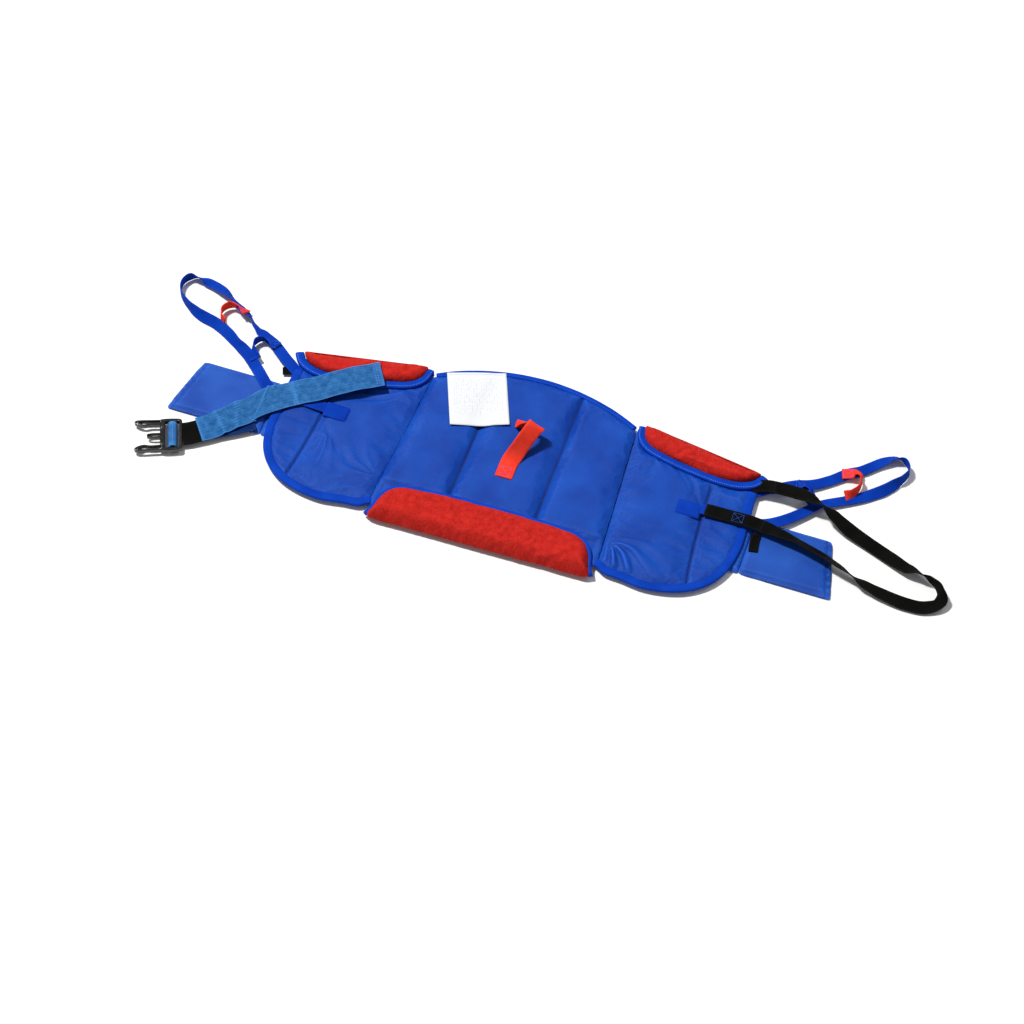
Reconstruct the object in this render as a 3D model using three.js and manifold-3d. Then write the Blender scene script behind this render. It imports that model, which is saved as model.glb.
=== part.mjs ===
// Padded standing-transfer belt: a quilted back panel with two side wings, fleece pads, a belt that
// runs under everything, webbing lifting loops, a waist strap and the male half of a buckle.
// Millimetres, +X along the belt, +Y towards the arched upper edge, +Z up.
// The belt lies open with its outer side up; the origin is on the floor under the panel's middle.
import * as THREE from 'three';
import * as BufferGeometryUtils from 'three/addons/utils/BufferGeometryUtils.js';
import Module from 'manifold-3d';

const wasm = await Module();
wasm.setup();

// ---------------------------------------------------------------- driving dimensions
const GAP = 0.4;                 // clearance between faces that rest on each other
const BELT_TOP = 7;              // thickness of the belt, which lies on the floor
const LINING = 1.5;              // thickness of the inner skins
const BODY_LOW = BELT_TOP + GAP; // underside of panel and wings
const SHELL_LOW = BODY_LOW + LINING + GAP;
const PANEL_TOP = 20;            // top of the quilted panel
const WING_TOP = 15;             // top of the wings
const PAD_TOP = 26;              // top of the fleece pads
const ROLL_TOP = 34;             // top of the fleece roll
const PAD_WALL = 6;              // fleece around the core of a pad
const PAD_STEP = 5;              // how far a pad's top is drawn in, and how deep that step is
const FOAM_ROOF = 2.5;           // cover fabric above a foam insert

const ARC_R = 371;               // radius of the arched upper edge
const ARC_TOP = 175;             // highest point of the arch
const ARC_HALF = 172;            // half width of the arch
const ARC_BINDING = 7;
const SEAM_IN = 73;              // sewn seams between the channels
const FOLD_TOP = [179, 137];     // fold line between panel and wing, upper end
const FOLD_LOW = [200, -175];    // and lower end
const FOLD_GAP = 5;              // from the fold line to the edge of a skin
const BELT_FOLD_GAP = 8;         // the same on the belt, which lies further from the hinge axis
const FOLD_Z = 11;               // height of the fold axis

const WING_BINDING = 9;
const EDGE_X = 420;              // line where the straps and belt ends leave the wings

const BELT_HALF = 55;            // half width of the belt
const BELT_Y = -30;
const BELT_SLOPE = -0.0185;      // the belt lies a little askew under the body
const BELT_SHIFT = -5;
const BELT_END = [556, 583];     // half length along its upper and lower edges
const HEM = 7;

const WEB = 20;                  // lifting webbing and its rungs
const BLACK = 25;                // black webbing
const TAB = 16;                  // short black tabs at the wings' edges
const WEB_T = 2;
const WAIST = 50;                // waist strap
const WAIST_T = 2.2;
const UNDERLAY = 40;             // layer between the waist strap and the belt's end
const STUB = 46;                 // webbing that runs through the buckle

const PATCH = [43, 31, 1];
const HANDLE_W = 30;
const HANDLE_FOOT = 25;
const HANDLE_FROM = -45;
const HANDLE_TO = 75;
const HANDLE_RISE = 40;
const HANDLE_AXIS = PANEL_TOP + 4;
const HANDLE_LEAN = 30;          // how far the handle leans towards +X as it lies
const LABEL = [100, 112, 0.6];
const LABEL_ANGLE = 18;
const LABEL_HEM = 8;

const BUCKLE_AT = [-546, -127, 9];
const BUCKLE_TURN = 201;
const BUCKLE_W = 64;
const BUCKLE_T = 11;

// ---------------------------------------------------------------- materials
const material = (color, roughness) => new THREE.MeshStandardMaterial({ color, roughness, metalness: 0 });
const NYLON = material(0x2750b4, 0.55);
const LINING_CLOTH = material(0x22479f, 0.7);
const BINDING = material(0x0f3fb4, 0.65);
const FLEECE = material(0xcc2f28, 0.95);
const FOAM = material(0xe8e4d2, 0.95);
const BLUE_WEB = material(0x1a48b8, 0.75);
const STEEL_WEB = material(0x2f6fae, 0.8);
const BLACK_WEB = material(0x1e201c, 0.8);
const RED_WEBBING = material(0xe8402f, 0.75);
const LABEL_CLOTH = material(0xf2f3f5, 0.8);
const BLACK_PLASTIC = material(0x111214, 0.35);

const object = new THREE.Group();

function add(name, geometry, look, parent = object) {
  const mesh = new THREE.Mesh(geometry, look);
  mesh.name = name;
  parent.add(mesh);
  return mesh;
}

// ---------------------------------------------------------------- outline helpers
const foldX = (y) => FOLD_TOP[0] + (FOLD_TOP[1] - y) * (FOLD_LOW[0] - FOLD_TOP[0])
  / (FOLD_TOP[1] - FOLD_LOW[1]);
const mirror = (points, side) => points.map(([x, y]) => [side * x, y]);

function smooth(points, count) {
  const curve = new THREE.SplineCurve(points.map(([x, y]) => new THREE.Vector2(x, y)));
  return curve.getPoints(count).map((p) => [p.x, p.y]);
}

// Moves a curve sideways by d, to the right of its direction of travel.
function offset(points, d) {
  return points.map(([x, y], i) => {
    const a = points[Math.max(i - 1, 0)];
    const b = points[Math.min(i + 1, points.length - 1)];
    const length = Math.hypot(b[0] - a[0], b[1] - a[1]);
    return [x + (d * (b[1] - a[1])) / length, y - (d * (b[0] - a[0])) / length];
  });
}

// Distance from a point to a closed outline.
function clearOf([x, y], outline) {
  return Math.min(...outline.map(([ax, ay], i) => {
    const [bx, by] = outline[(i + 1) % outline.length];
    const t = ((x - ax) * (bx - ax) + (y - ay) * (by - ay)) / ((bx - ax) ** 2 + (by - ay) ** 2);
    const f = Math.min(Math.max(t, 0), 1);
    return Math.hypot(x - ax - f * (bx - ax), y - ay - f * (by - ay));
  }));
}

// A closed counter-clockwise outline drawn in by d, without the corners that would fold over.
function inset(outline, d) {
  const inward = ([ax, ay], [bx, by]) => {
    const length = Math.hypot(bx - ax, by - ay);
    return [(ay - by) / length, (bx - ax) / length];
  };
  const count = outline.length;
  return outline.map((p, i) => {
    const before = inward(outline[(i + count - 1) % count], p);
    const after = inward(p, outline[(i + 1) % count]);
    const share = d / (1 + before[0] * after[0] + before[1] * after[1]);
    return [p[0] + share * (before[0] + after[0]), p[1] + share * (before[1] + after[1])];
  }).filter((p) => clearOf(p, outline) > 0.97 * d);
}

const band = (line, d0, d1) => [...offset(line, d0), ...offset(line, d1).reverse()];

// A flat body with an outline, between two heights, with an optional bevel inside the outline.
function slab(points, low, high, bevel = 0) {
  const shape = new THREE.Shape(points.map(([x, y]) => new THREE.Vector2(x, y)));
  const geometry = new THREE.ExtrudeGeometry(shape, {
    depth: high - low - 2 * bevel,
    bevelEnabled: bevel > 0,
    bevelThickness: bevel,
    bevelSize: bevel,
    bevelOffset: -bevel,
    bevelSegments: 1,
    steps: 1,
  });
  geometry.translate(0, 0, low + bevel);
  return geometry;
}

const rectangle = (x0, y0, x1, y1) => [[x0, y0], [x1, y0], [x1, y1], [x0, y1]];

// ---------------------------------------------------------------- solid helpers
function toSolid(geometry) {
  const bare = new THREE.BufferGeometry();
  bare.setAttribute('position', geometry.getAttribute('position').clone());
  if (geometry.index) bare.setIndex(geometry.index.clone());
  const merged = BufferGeometryUtils.mergeVertices(bare, 1e-4);
  return new wasm.Manifold(new wasm.Mesh({
    numProp: 3,
    vertProperties: new Float32Array(merged.getAttribute('position').array),
    triVerts: new Uint32Array(merged.index.array),
  }));
}

function toGeometry(solid) {
  const mesh = solid.getMesh();
  const geometry = new THREE.BufferGeometry();
  geometry.setAttribute('position', new THREE.BufferAttribute(new Float32Array(mesh.vertProperties), 3));
  geometry.setIndex(new THREE.BufferAttribute(new Uint32Array(mesh.triVerts), 1));
  geometry.computeVertexNormals();
  return geometry;
}

const join = (a, b) => toGeometry(toSolid(a).add(toSolid(b)));
const cut = (whole, ...tools) => toGeometry(
  tools.reduce((solid, tool) => solid.subtract(toSolid(tool)), toSolid(whole)),
);
const keepBeyond = (geometry, normal, distance) => toGeometry(
  toSolid(geometry).trimByPlane(normal, distance),
);

// A pad that is smaller near its top.
function crowned(outline, smaller, top) {
  const shoulder = top - PAD_STEP;
  return join(slab(outline, BODY_LOW, shoulder), slab(smaller, BODY_LOW + 1, top));
}

// ---------------------------------------------------------------- webbing
// A route is a list of [x, y, z, tilt]: the middle of the webbing and how far it is turned on edge,
// in degrees. Flat webbing has tilt 0 and webbing standing on its edge has tilt 90.
function sampleRoute(route, steps) {
  const curve = new THREE.CatmullRomCurve3(route.map(([x, y, z]) => new THREE.Vector3(x, y, z)), false,
    'centripetal');
  const samples = [];
  const count = (route.length - 1) * steps;
  for (let i = 0; i <= count; i += 1) {
    const t = i / count;
    const k = Math.min(Math.floor(t * (route.length - 1)), route.length - 2);
    const f = t * (route.length - 1) - k;
    const ease = f * f * (3 - 2 * f);
    samples.push({
      centre: curve.getPoint(t),
      along: curve.getTangent(t),
      tilt: THREE.MathUtils.degToRad(route[k][3] * (1 - ease) + route[k + 1][3] * ease),
    });
  }
  return samples;
}

// Skins a row of four-cornered sections, each counter-clockwise as seen from the row's end.
function loft(corners) {
  const index = [0, 2, 1, 0, 3, 2];
  const last = corners.length - 4;
  for (let ring = 0; ring < last; ring += 4) {
    for (let c = 0; c < 4; c += 1) {
      const p = ring + c;
      const q = ring + ((c + 1) % 4);
      index.push(p, q, p + 4, q, q + 4, p + 4);
    }
  }
  index.push(last, last + 1, last + 2, last, last + 2, last + 3);
  const geometry = new THREE.BufferGeometry();
  geometry.setAttribute('position',
    new THREE.BufferAttribute(new Float32Array(corners.flatMap((v) => [v.x, v.y, v.z])), 3));
  geometry.setIndex(index);
  geometry.computeVertexNormals();
  return geometry;
}

function section(centre, across, normal, width, thickness) {
  return [[-1, -1], [1, -1], [1, 1], [-1, 1]].map(([a, n]) => centre.clone()
    .addScaledVector(across, (a * width) / 2)
    .addScaledVector(normal, (n * thickness) / 2));
}

function webbing(route, width, thickness, steps = 3) {
  const up = new THREE.Vector3(0, 0, 1);
  const corners = [];
  for (const { centre, along, tilt } of sampleRoute(route, steps)) {
    const flat = new THREE.Vector3().crossVectors(up, along).normalize();
    const across = flat.clone().multiplyScalar(Math.cos(tilt)).addScaledVector(up, Math.sin(tilt));
    across.addScaledVector(along, -across.dot(along)).normalize();
    const normal = new THREE.Vector3().crossVectors(along, across).normalize();
    corners.push(...section(centre, across, normal, width, thickness));
  }
  return loft(corners);
}

// ---------------------------------------------------------------- back panel
function archPoints(radius, half, count) {
  const points = [];
  for (let i = 0; i <= count; i += 1) {
    const angle = Math.asin(half / radius) * (1 - (2 * i) / count);
    points.push([radius * Math.sin(angle), ARC_TOP - ARC_R + radius * Math.cos(angle)]);
  }
  return points;
}

const ROLL_EDGE = smooth([[188, -170], [181, -146], [168, -128], [152, -119], [110, -114], [0, -111]], 12);
const rollEdge = [...ROLL_EDGE, ...mirror(ROLL_EDGE, -1).reverse().slice(1)];

function panelOutline(inset) {
  const arch = archPoints(ARC_R - ARC_BINDING - inset, ARC_HALF - 3, 16);
  const low = -104;
  return [...arch, [-(foldX(low) - FOLD_GAP), low], [foldX(low) - FOLD_GAP, low]];
}

function buildPanel() {
  const low = SHELL_LOW;
  add('back_lining', slab(panelOutline(GAP), BODY_LOW, BODY_LOW + LINING), LINING_CLOTH);
  const channels = [
    ['left', -165, -SEAM_IN - 4, 118],
    ['middle', -SEAM_IN + 4, SEAM_IN - 4, 154],
    ['right', SEAM_IN + 4, 165, 118],
  ];
  const pockets = channels.map(([, x0, x1, top]) => slab(
    rectangle(x0, -98, x1, top), low - 1, PANEL_TOP - FOAM_ROOF));
  add('back_cover', cut(slab(panelOutline(GAP), low, PANEL_TOP), ...pockets), NYLON);
  for (const [side, x0, x1, top] of channels) {
    add(`foam_insert_${side}`,
      slab(rectangle(x0 + GAP, -98 + GAP, x1 - GAP, top - GAP), low, PANEL_TOP - FOAM_ROOF - GAP), FOAM);
  }
  const arch = archPoints(ARC_R, ARC_HALF, 16);
  add('arch_binding', slab(band(arch, 0, -ARC_BINDING), BODY_LOW, PANEL_TOP - 2), BINDING);
}

function buildRoll() {
  const low = -186;
  const outline = [...rollEdge, [-194, low], [194, low]];
  add('roll_cover', cut(crowned(outline, inset(outline, PAD_STEP), ROLL_TOP),
    slab(inset(outline, PAD_WALL), BODY_LOW - 1, ROLL_TOP - PAD_WALL)), FLEECE);
  add('roll_core', slab(inset(outline, PAD_WALL + GAP), BODY_LOW, ROLL_TOP - PAD_WALL - GAP), FOAM);
}

// ---------------------------------------------------------------- wings, drawn for the right side
const PAD_SEAM = smooth([[187, 128], [192, 105], [207, 89], [250, 75], [310, 64], [350, 60], [380, 62],
  [403, 72], [416, 92]], 20);
const FLEECE_SEAM = smooth([[192, 136], [197, 115], [211, 101], [250, 88], [305, 78], [345, 74],
  [375, 78], [395, 90], [404, 102]], 20);
const PAD_FAR = smooth([[404, 102], [377, 105], [305, 118], [240, 131], [212, 137], [192, 136]], 10);
const WING_EDGE = smooth([[407, 64], [410, 5], [413, -42], [410, -75], [402, -105], [384, -134],
  [355, -157], [320, -170], [279, -175], [240, -170], [207, -160]], 22);

function wingOutline(extra) {
  const hinge = (y) => foldX(y) + FOLD_GAP + extra;
  const outer = offset(WING_EDGE, WING_BINDING + GAP + extra);
  const seam = offset(PAD_SEAM, GAP + extra).filter(([x, y]) => x > hinge(y) + 1 && x < outer[0][0] - 4);
  const edge = outer.filter(([x, y]) => y < seam[seam.length - 1][1] - 2 && x > hinge(y) + 1);
  const top = seam[0][1];
  const low = edge[edge.length - 1][1];
  return [...seam, ...edge, [hinge(low), low], [hinge(top), top]];
}

function beltY(x, edge) {
  return BELT_Y + BELT_SLOPE * x + edge * BELT_HALF;
}

function buildWing(side) {
  const name = side < 0 ? 'left' : 'right';
  const own = (points) => mirror(points, side);
  add(`${name}_wing_lining`, slab(own(wingOutline(0)), BODY_LOW, BODY_LOW + LINING), LINING_CLOTH);
  const inside = wingOutline(8);
  add(`${name}_wing_cover`, cut(slab(own(wingOutline(0)), SHELL_LOW, WING_TOP),
    slab(own(inside), SHELL_LOW - 1, WING_TOP - 2)), NYLON);
  add(`${name}_wing_padding`, slab(own(wingOutline(8 + GAP)), SHELL_LOW, WING_TOP - 2 - GAP), FOAM);
  add(`${name}_wing_binding`, slab(own(band(WING_EDGE, 0, WING_BINDING)), BODY_LOW, WING_TOP), BINDING);

  const pad = [...FLEECE_SEAM, ...PAD_FAR.slice(1, -1)];
  add(`${name}_pad_cover`, cut(crowned(own(pad), own(inset(pad, PAD_STEP)), PAD_TOP),
    slab(own(inset(pad, PAD_WALL)), BODY_LOW - 1, PAD_TOP - PAD_WALL)), FLEECE);
  add(`${name}_pad_core`, slab(own(inset(pad, PAD_WALL + GAP)), BODY_LOW, PAD_TOP - PAD_WALL - GAP), FOAM);
  add(`${name}_pad_binding`, slab(own([...PAD_SEAM, ...offset(FLEECE_SEAM, GAP).reverse()]),
    BODY_LOW, WING_TOP + 2), BINDING);

  const patchX = side * 309;
  const patch = rectangle(patchX - PATCH[0] / 2, -19, patchX + PATCH[0] / 2, -19 + PATCH[1]);
  add(`${name}_patch`, slab(patch, WING_TOP + GAP, WING_TOP + GAP + PATCH[2]), BINDING);
}

// ---------------------------------------------------------------- belt under the body
function buildBelt() {
  const fold = (side, edge, away) => {
    const y = beltY(side * FOLD_TOP[0], edge);
    return [side * (foldX(y) + away * BELT_FOLD_GAP), beltY(side * foldX(y), edge)];
  };
  add('belt_centre', slab([fold(-1, -1, -1), fold(1, -1, -1), fold(1, 1, -1), fold(-1, 1, -1)], 0, BELT_TOP),
    NYLON);
  for (const side of [-1, 1]) {
    const name = side < 0 ? 'left' : 'right';
    const inner = side * (EDGE_X - 1);
    add(`${name}_belt_section`, slab([fold(side, -1, 1), [inner, beltY(inner, -1)], [inner, beltY(inner, 1)],
      fold(side, 1, 1)], 0, BELT_TOP), NYLON);
    const corner = (edge, inset) => {
      const x = BELT_SHIFT + side * ((edge > 0 ? BELT_END[0] : BELT_END[1]) - inset);
      return [x, beltY(x, edge)];
    };
    const start = side * (EDGE_X + 1);
    add(`${name}_belt_end`, slab([[start, beltY(start, -1)], corner(-1, HEM + GAP), corner(1, HEM + GAP),
      [start, beltY(start, 1)]], 0, BELT_TOP), NYLON);
    add(`${name}_belt_hem`, slab([corner(-1, HEM), corner(-1, 0), corner(1, 0), corner(1, HEM)], 0,
      BELT_TOP), BINDING);
  }
}

// ---------------------------------------------------------------- lifting loops
const LEFT_LOOP = [
  [-421, 74, 9, 0], [-431, 81, 9, 0], [-444, 92, 9, 0], [-460, 106, 7, 8], [-485, 119, 7, 15],
  [-502, 129, 9, 50], [-513, 140, 11, 80], [-532, 153, 8.5, 35], [-561, 172, 9, 55], [-589, 188, 6, 15],
  [-613, 196, 5, 10], [-633, 197, 9, 55], [-648, 193, 11, 90], [-656, 177, 11, 90], [-650, 156, 11, 90],
  [-631, 138, 10.5, 80], [-609, 126, 9, 55], [-592, 122, 6, 30], [-571, 117, 5, 20], [-543, 102, 6, 30],
  [-521, 86, 8, 50], [-502, 76, 6, 15], [-481, 57, 8, 20], [-464, 40, 10, 10], [-447, 23, 10.5, 0],
  [-434, 12, 11, 0], [-421, 3, 12, 0],
];
const LEFT_RUNG = [
  [-453, 99, 12.5, 0], [-468, 107, 13, 40], [-481, 107, 12, 75], [-491, 98, 12, 88], [-492, 86, 12, 80],
  [-486, 73, 11.5, 50], [-478, 62, 11, 15],
];
const LEFT_RED = [
  [-527, 149, 13, 25], [-544, 157, 14, 65], [-560, 156, 13, 88], [-569, 143, 13, 88], [-566, 129, 13, 85],
  [-556, 119, 12, 80],
];
const RIGHT_LOOP = [
  [421, 79, 9, 0], [434, 84, 9, 0], [447, 93, 9, 0], [463, 103, 8, 0], [488, 114, 6, 0], [514, 133, 4, 0],
  [538, 154, 5, 8], [560, 170, 4, 0], [582, 192, 5, -8], [604, 208, 8, -40], [624, 204, 11, -90],
  [634, 188, 11, -90], [628, 170, 11, -80], [614, 150, 9, -45], [597, 134, 6, -25], [568, 113, 4, 0],
  [539, 96, 5, 8], [513, 81, 6, 20], [498, 65, 7, 12], [481, 45, 8, 0], [459, 24, 10, 0], [438, 10, 11, 0],
  [421, 3, 12, 0],
];
const RIGHT_RUNG = [
  [466, 104, 11, 0], [479, 106, 11, -45], [491, 98, 11, -60], [496, 84, 10, -55], [493, 70, 10, -45],
];
const RIGHT_RED = [
  [534, 151, 8.5, 0], [550, 156, 12, -60], [562, 147, 12, -88], [564, 130, 12, -88], [557, 114, 11, -70],
  [546, 106, 9, -40],
];

const BLACK_LOOP = [
  [421, 79, 19, 0], [447, 80, 20, 0], [475, 77, 24, 0], [497, 73, 25, -20], [518, 68, 22, -55],
  [543, 56, 17, -15], [574, 42, 9, 5], [612, 28, 5, 0], [650, 13, 5, 0], [682, 0, 8, -15],
  [706, -7, 13.5, -55], [727, -14, 13.5, -85], [744, -27, 13, -105], [750, -46, 7, -160],
  [729, -62, 4, -180], [694, -65, 4, -180], [659, -60, 5, -170], [628, -53, 7, -155], [599, -45, 13, -120],
  [572, -35, 16, -135], [538, -24, 19, -140], [501, -14, 20, -140], [464, -5, 18, -160],
  [440, -1, 17, -180], [421, 1, 17, -180],
];

function buildLoops() {
  // A rung's ends are trimmed where they meet the loop that they are sewn to.
  const rung = (name, route, look, loop) => {
    const parts = toSolid(webbing(route, WEB, WEB_T))
      .subtract(toSolid(webbing(loop, WEB + 1, WEB_T + 2 * GAP))).decompose();
    const [main] = parts.sort((a, b) => b.volume() - a.volume());
    add(name, toGeometry(main), look);
  };
  add('left_lifting_loop', webbing(LEFT_LOOP, WEB, WEB_T), BLUE_WEB);
  rung('left_short_rung', LEFT_RUNG, BLUE_WEB, LEFT_LOOP);
  rung('left_red_rung', LEFT_RED, RED_WEBBING, LEFT_LOOP);
  add('right_lifting_loop', webbing(RIGHT_LOOP, WEB, WEB_T), BLUE_WEB);
  rung('right_short_rung', RIGHT_RUNG, BLUE_WEB, RIGHT_LOOP);
  rung('right_red_rung', RIGHT_RED, RED_WEBBING, RIGHT_LOOP);
  add('black_loop', webbing(BLACK_LOOP, BLACK, WEB_T), BLACK_WEB);

  const onWing = WING_TOP + GAP;
  add('left_loop_anchor', slab(rectangle(-419, -8, -331, -8 + WEB), onWing, onWing + WEB_T), BLUE_WEB);
  add('right_loop_anchor', slab(rectangle(331, -8, 419, -8 + WEB), onWing, onWing + WEB_T), BLUE_WEB);
  add('black_tab', webbing([[429, -13, 8.6, 0], [430, -30, 8.6, 0], [433, -48, 8.6, 0]], TAB, WEB_T),
    BLACK_WEB);
  add('left_black_tab', webbing([[-421, 58, 6, 0], [-436, 55, 4, 0]], TAB - 2, WEB_T), BLACK_WEB);
  add('black_loop_anchor', slab(rectangle(334, -12, 419, -12 + BLACK), onWing + WEB_T + GAP,
    onWing + 2 * WEB_T + GAP), BLACK_WEB);
}

// ---------------------------------------------------------------- waist strap
const WAIST_ROUTE = [
  [-259, 88, 29.5, 0], [-293, 68, 29.5, 0], [-320, 51, 28.5, 0], [-348, 33, 23, 0], [-380, 14, 20.5, 0], [-409, -5, 20, 0],
  [-434, -25, 16.5, 0], [-448, -41, 14, 0], [-463, -56, 13, 0], [-481, -75, 12.5, 0], [-498, -92, 12, 0],
  [-517, -106, 12, 0],
];
const TAIL_CUT = { normal: [0.83, 0.56, 0], distance: -317 };

function buildWaistStrap() {
  const whole = webbing(WAIST_ROUTE, WAIST, WAIST_T);
  const onWing = keepBeyond(whole, [1, 0, 0], -EDGE_X + 1);
  const { normal, distance } = TAIL_CUT;
  add('waist_tail', keepBeyond(onWing, normal, distance + GAP), STEEL_WEB);
  add('waist_crossing', keepBeyond(onWing, normal.map((v) => -v), -distance + GAP), STEEL_WEB);
  add('waist_lead', keepBeyond(whole, [-1, 0, 0], EDGE_X + 1), STEEL_WEB);
  add('waist_underlay', webbing([[-436, -58, 9.2, 0], [-455, -66, 9.2, 0], [-478, -81, 8.8, 0],
    [-498, -98, 8.8, 0]], UNDERLAY, WEB_T), BLACK_WEB);
  add('buckle_webbing', webbing([[-505, -98, 8.6, 0], [-517, -108, 8.6, 0], [-529, -117, 8.4, 0],
    [-537, -121, 8.2, 0]], STUB, WEB_T), BLACK_WEB);
}

// ---------------------------------------------------------------- buckle, local +X towards the prongs
function buildBuckle() {
  const buckle = new THREE.Group();
  buckle.position.set(...BUCKLE_AT);
  buckle.rotation.z = THREE.MathUtils.degToRad(BUCKLE_TURN);
  object.add(buckle);
  const half = BUCKLE_W / 2;
  const low = -BUCKLE_T / 2;
  const high = BUCKLE_T / 2;
  const body = slab([[-7, -half + 5], [-3, -half], [26, -half], [30, -half + 3], [30, half - 3], [26, half],
    [-3, half], [-7, half - 5]], low, high, 1.5);
  const slot = (x0, x1) => slab(rectangle(x0, -half + 6, x1, half - 6), low - 1, high + 1);
  add('buckle_frame', cut(body, slot(-2.5, 5), slot(13, 20)), BLACK_PLASTIC, buckle);
  add('buckle_wrap', slab(rectangle(6, -half + 7, 12, half - 7), high + GAP, high + GAP + 2), BLUE_WEB,
    buckle);
  add('buckle_guide', slab([[30.5, -4], [50, -3], [52, 0], [50, 3], [30.5, 4]], low + 2, high - 2),
    BLACK_PLASTIC, buckle);
  for (const side of [-1, 1]) {
    const arm = [[30.5, 20], [48, 21], [58, 19], [66, 22], [73, 27], [72, 31], [64, 31.5], [48, 31],
      [30.5, 30]];
    add(side < 0 ? 'buckle_prong_far' : 'buckle_prong_near',
      slab(arm.map(([x, y]) => [x, side * y]), low + 1, high - 1, 1), BLACK_PLASTIC, buckle);
  }
}

// ---------------------------------------------------------------- handle and label
function buildHandle() {
  const low = PANEL_TOP + GAP;
  const half = HANDLE_W / 2;
  const foot = (name, y0, y1) => add(name, slab(rectangle(-half, y0, half, y1), low, low + WEB_T), RED_WEBBING);
  foot('handle_foot_near', HANDLE_FROM, HANDLE_FROM + HANDLE_FOOT);
  foot('handle_foot_far', HANDLE_TO - HANDLE_FOOT, HANDLE_TO);
  // The arch narrows towards its feet so that it can lean sideways without meeting the panel.
  const y0 = HANDLE_FROM + HANDLE_FOOT;
  const y1 = HANDLE_TO - HANDLE_FOOT;
  const arch = (t) => new THREE.Vector3(0, y0 + (y1 - y0) * t + 8 * Math.sin(2 * Math.PI * t) * -1,
    HANDLE_AXIS + HANDLE_RISE * Math.sin(Math.PI * t) ** 0.8);
  const rings = 14;
  const across = new THREE.Vector3(-1, 0, 0);
  const corners = [];
  for (let i = 0; i <= rings; i += 1) {
    const t = 0.02 + (0.96 * i) / rings;
    const centre = arch(t);
    const along = arch(t + 0.01).sub(arch(t - 0.01)).normalize();
    const normal = new THREE.Vector3().crossVectors(along, across);
    const wide = Math.min(HANDLE_W, 5 + 1.9 * (centre.z - HANDLE_AXIS));
    corners.push(...section(centre, across, normal, wide, WEB_T));
  }
  const handle = loft(corners);
  handle.translate(0, 0, -HANDLE_AXIS);
  handle.rotateY(THREE.MathUtils.degToRad(HANDLE_LEAN));
  handle.translate(0, 0, HANDLE_AXIS);
  add('handle_arch', handle, RED_WEBBING);
}

function buildLabel() {
  const group = new THREE.Group();
  group.position.set(0, ARC_TOP - ARC_R, 0);
  group.rotation.z = THREE.MathUtils.degToRad(LABEL_ANGLE);
  object.add(group);
  const top = ARC_R - ARC_BINDING - 2;
  const low = PANEL_TOP + GAP;
  const [width, height, thick] = LABEL;
  add('label_hem', slab(rectangle(-width / 2, top - LABEL_HEM, width / 2, top), low, low + thick),
    LABEL_CLOTH, group);
  add('care_label', slab(rectangle(-width / 2, top - height, width / 2, top - LABEL_HEM - GAP), low,
    low + thick), LABEL_CLOTH, group);
}

buildPanel();
buildRoll();
buildWing(-1);
buildWing(1);
buildBelt();
buildLoops();
buildWaistStrap();
buildBuckle();
buildHandle();
buildLabel();

export default object;
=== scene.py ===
"""Looks for a padded lifting belt: a quilted back panel with two wings, fleece pads, lifting
loops, a waist strap with a side-release buckle, a carrying handle and a blank care label.

Metres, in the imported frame: +X along the belt, +Y towards the arched edge, +Z up.
"""

import math

import bpy
import numpy as np
from mathutils import Matrix, Vector, geometry, noise
from mathutils.bvhtree import BVHTree


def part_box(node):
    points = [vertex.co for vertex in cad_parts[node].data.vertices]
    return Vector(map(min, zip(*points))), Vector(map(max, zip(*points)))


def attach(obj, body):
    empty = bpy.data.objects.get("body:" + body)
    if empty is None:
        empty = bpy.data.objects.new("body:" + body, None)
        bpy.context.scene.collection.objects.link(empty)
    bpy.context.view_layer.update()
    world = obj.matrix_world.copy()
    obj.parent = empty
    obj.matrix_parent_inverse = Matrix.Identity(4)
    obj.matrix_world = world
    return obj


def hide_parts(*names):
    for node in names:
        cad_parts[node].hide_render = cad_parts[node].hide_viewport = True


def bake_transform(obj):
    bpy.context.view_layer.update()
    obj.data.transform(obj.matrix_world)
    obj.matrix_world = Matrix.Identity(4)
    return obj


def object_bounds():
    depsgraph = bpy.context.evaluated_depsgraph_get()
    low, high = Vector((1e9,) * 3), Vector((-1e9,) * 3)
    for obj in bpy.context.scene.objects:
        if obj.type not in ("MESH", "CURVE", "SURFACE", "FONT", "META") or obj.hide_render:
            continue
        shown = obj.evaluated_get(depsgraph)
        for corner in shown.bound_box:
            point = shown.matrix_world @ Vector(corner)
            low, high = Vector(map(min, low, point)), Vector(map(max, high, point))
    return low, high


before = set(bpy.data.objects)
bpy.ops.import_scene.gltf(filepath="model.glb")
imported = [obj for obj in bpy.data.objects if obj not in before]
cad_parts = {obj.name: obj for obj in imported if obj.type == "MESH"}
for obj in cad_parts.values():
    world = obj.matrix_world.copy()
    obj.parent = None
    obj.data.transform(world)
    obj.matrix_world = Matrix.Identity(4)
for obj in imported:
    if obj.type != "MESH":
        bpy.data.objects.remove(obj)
cad_low, cad_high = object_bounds()

MM = 0.001
UP = np.array([0.0, 0.0, 1.0])
LINING_Z = 7.4 * MM
LAID_GAP = 0.0001
CLOTH_FRAMES = 20
STITCH_STEP = 0.5
RIB_HEIGHT = 0.00028
WAVE_SCALE = 0.314

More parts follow.
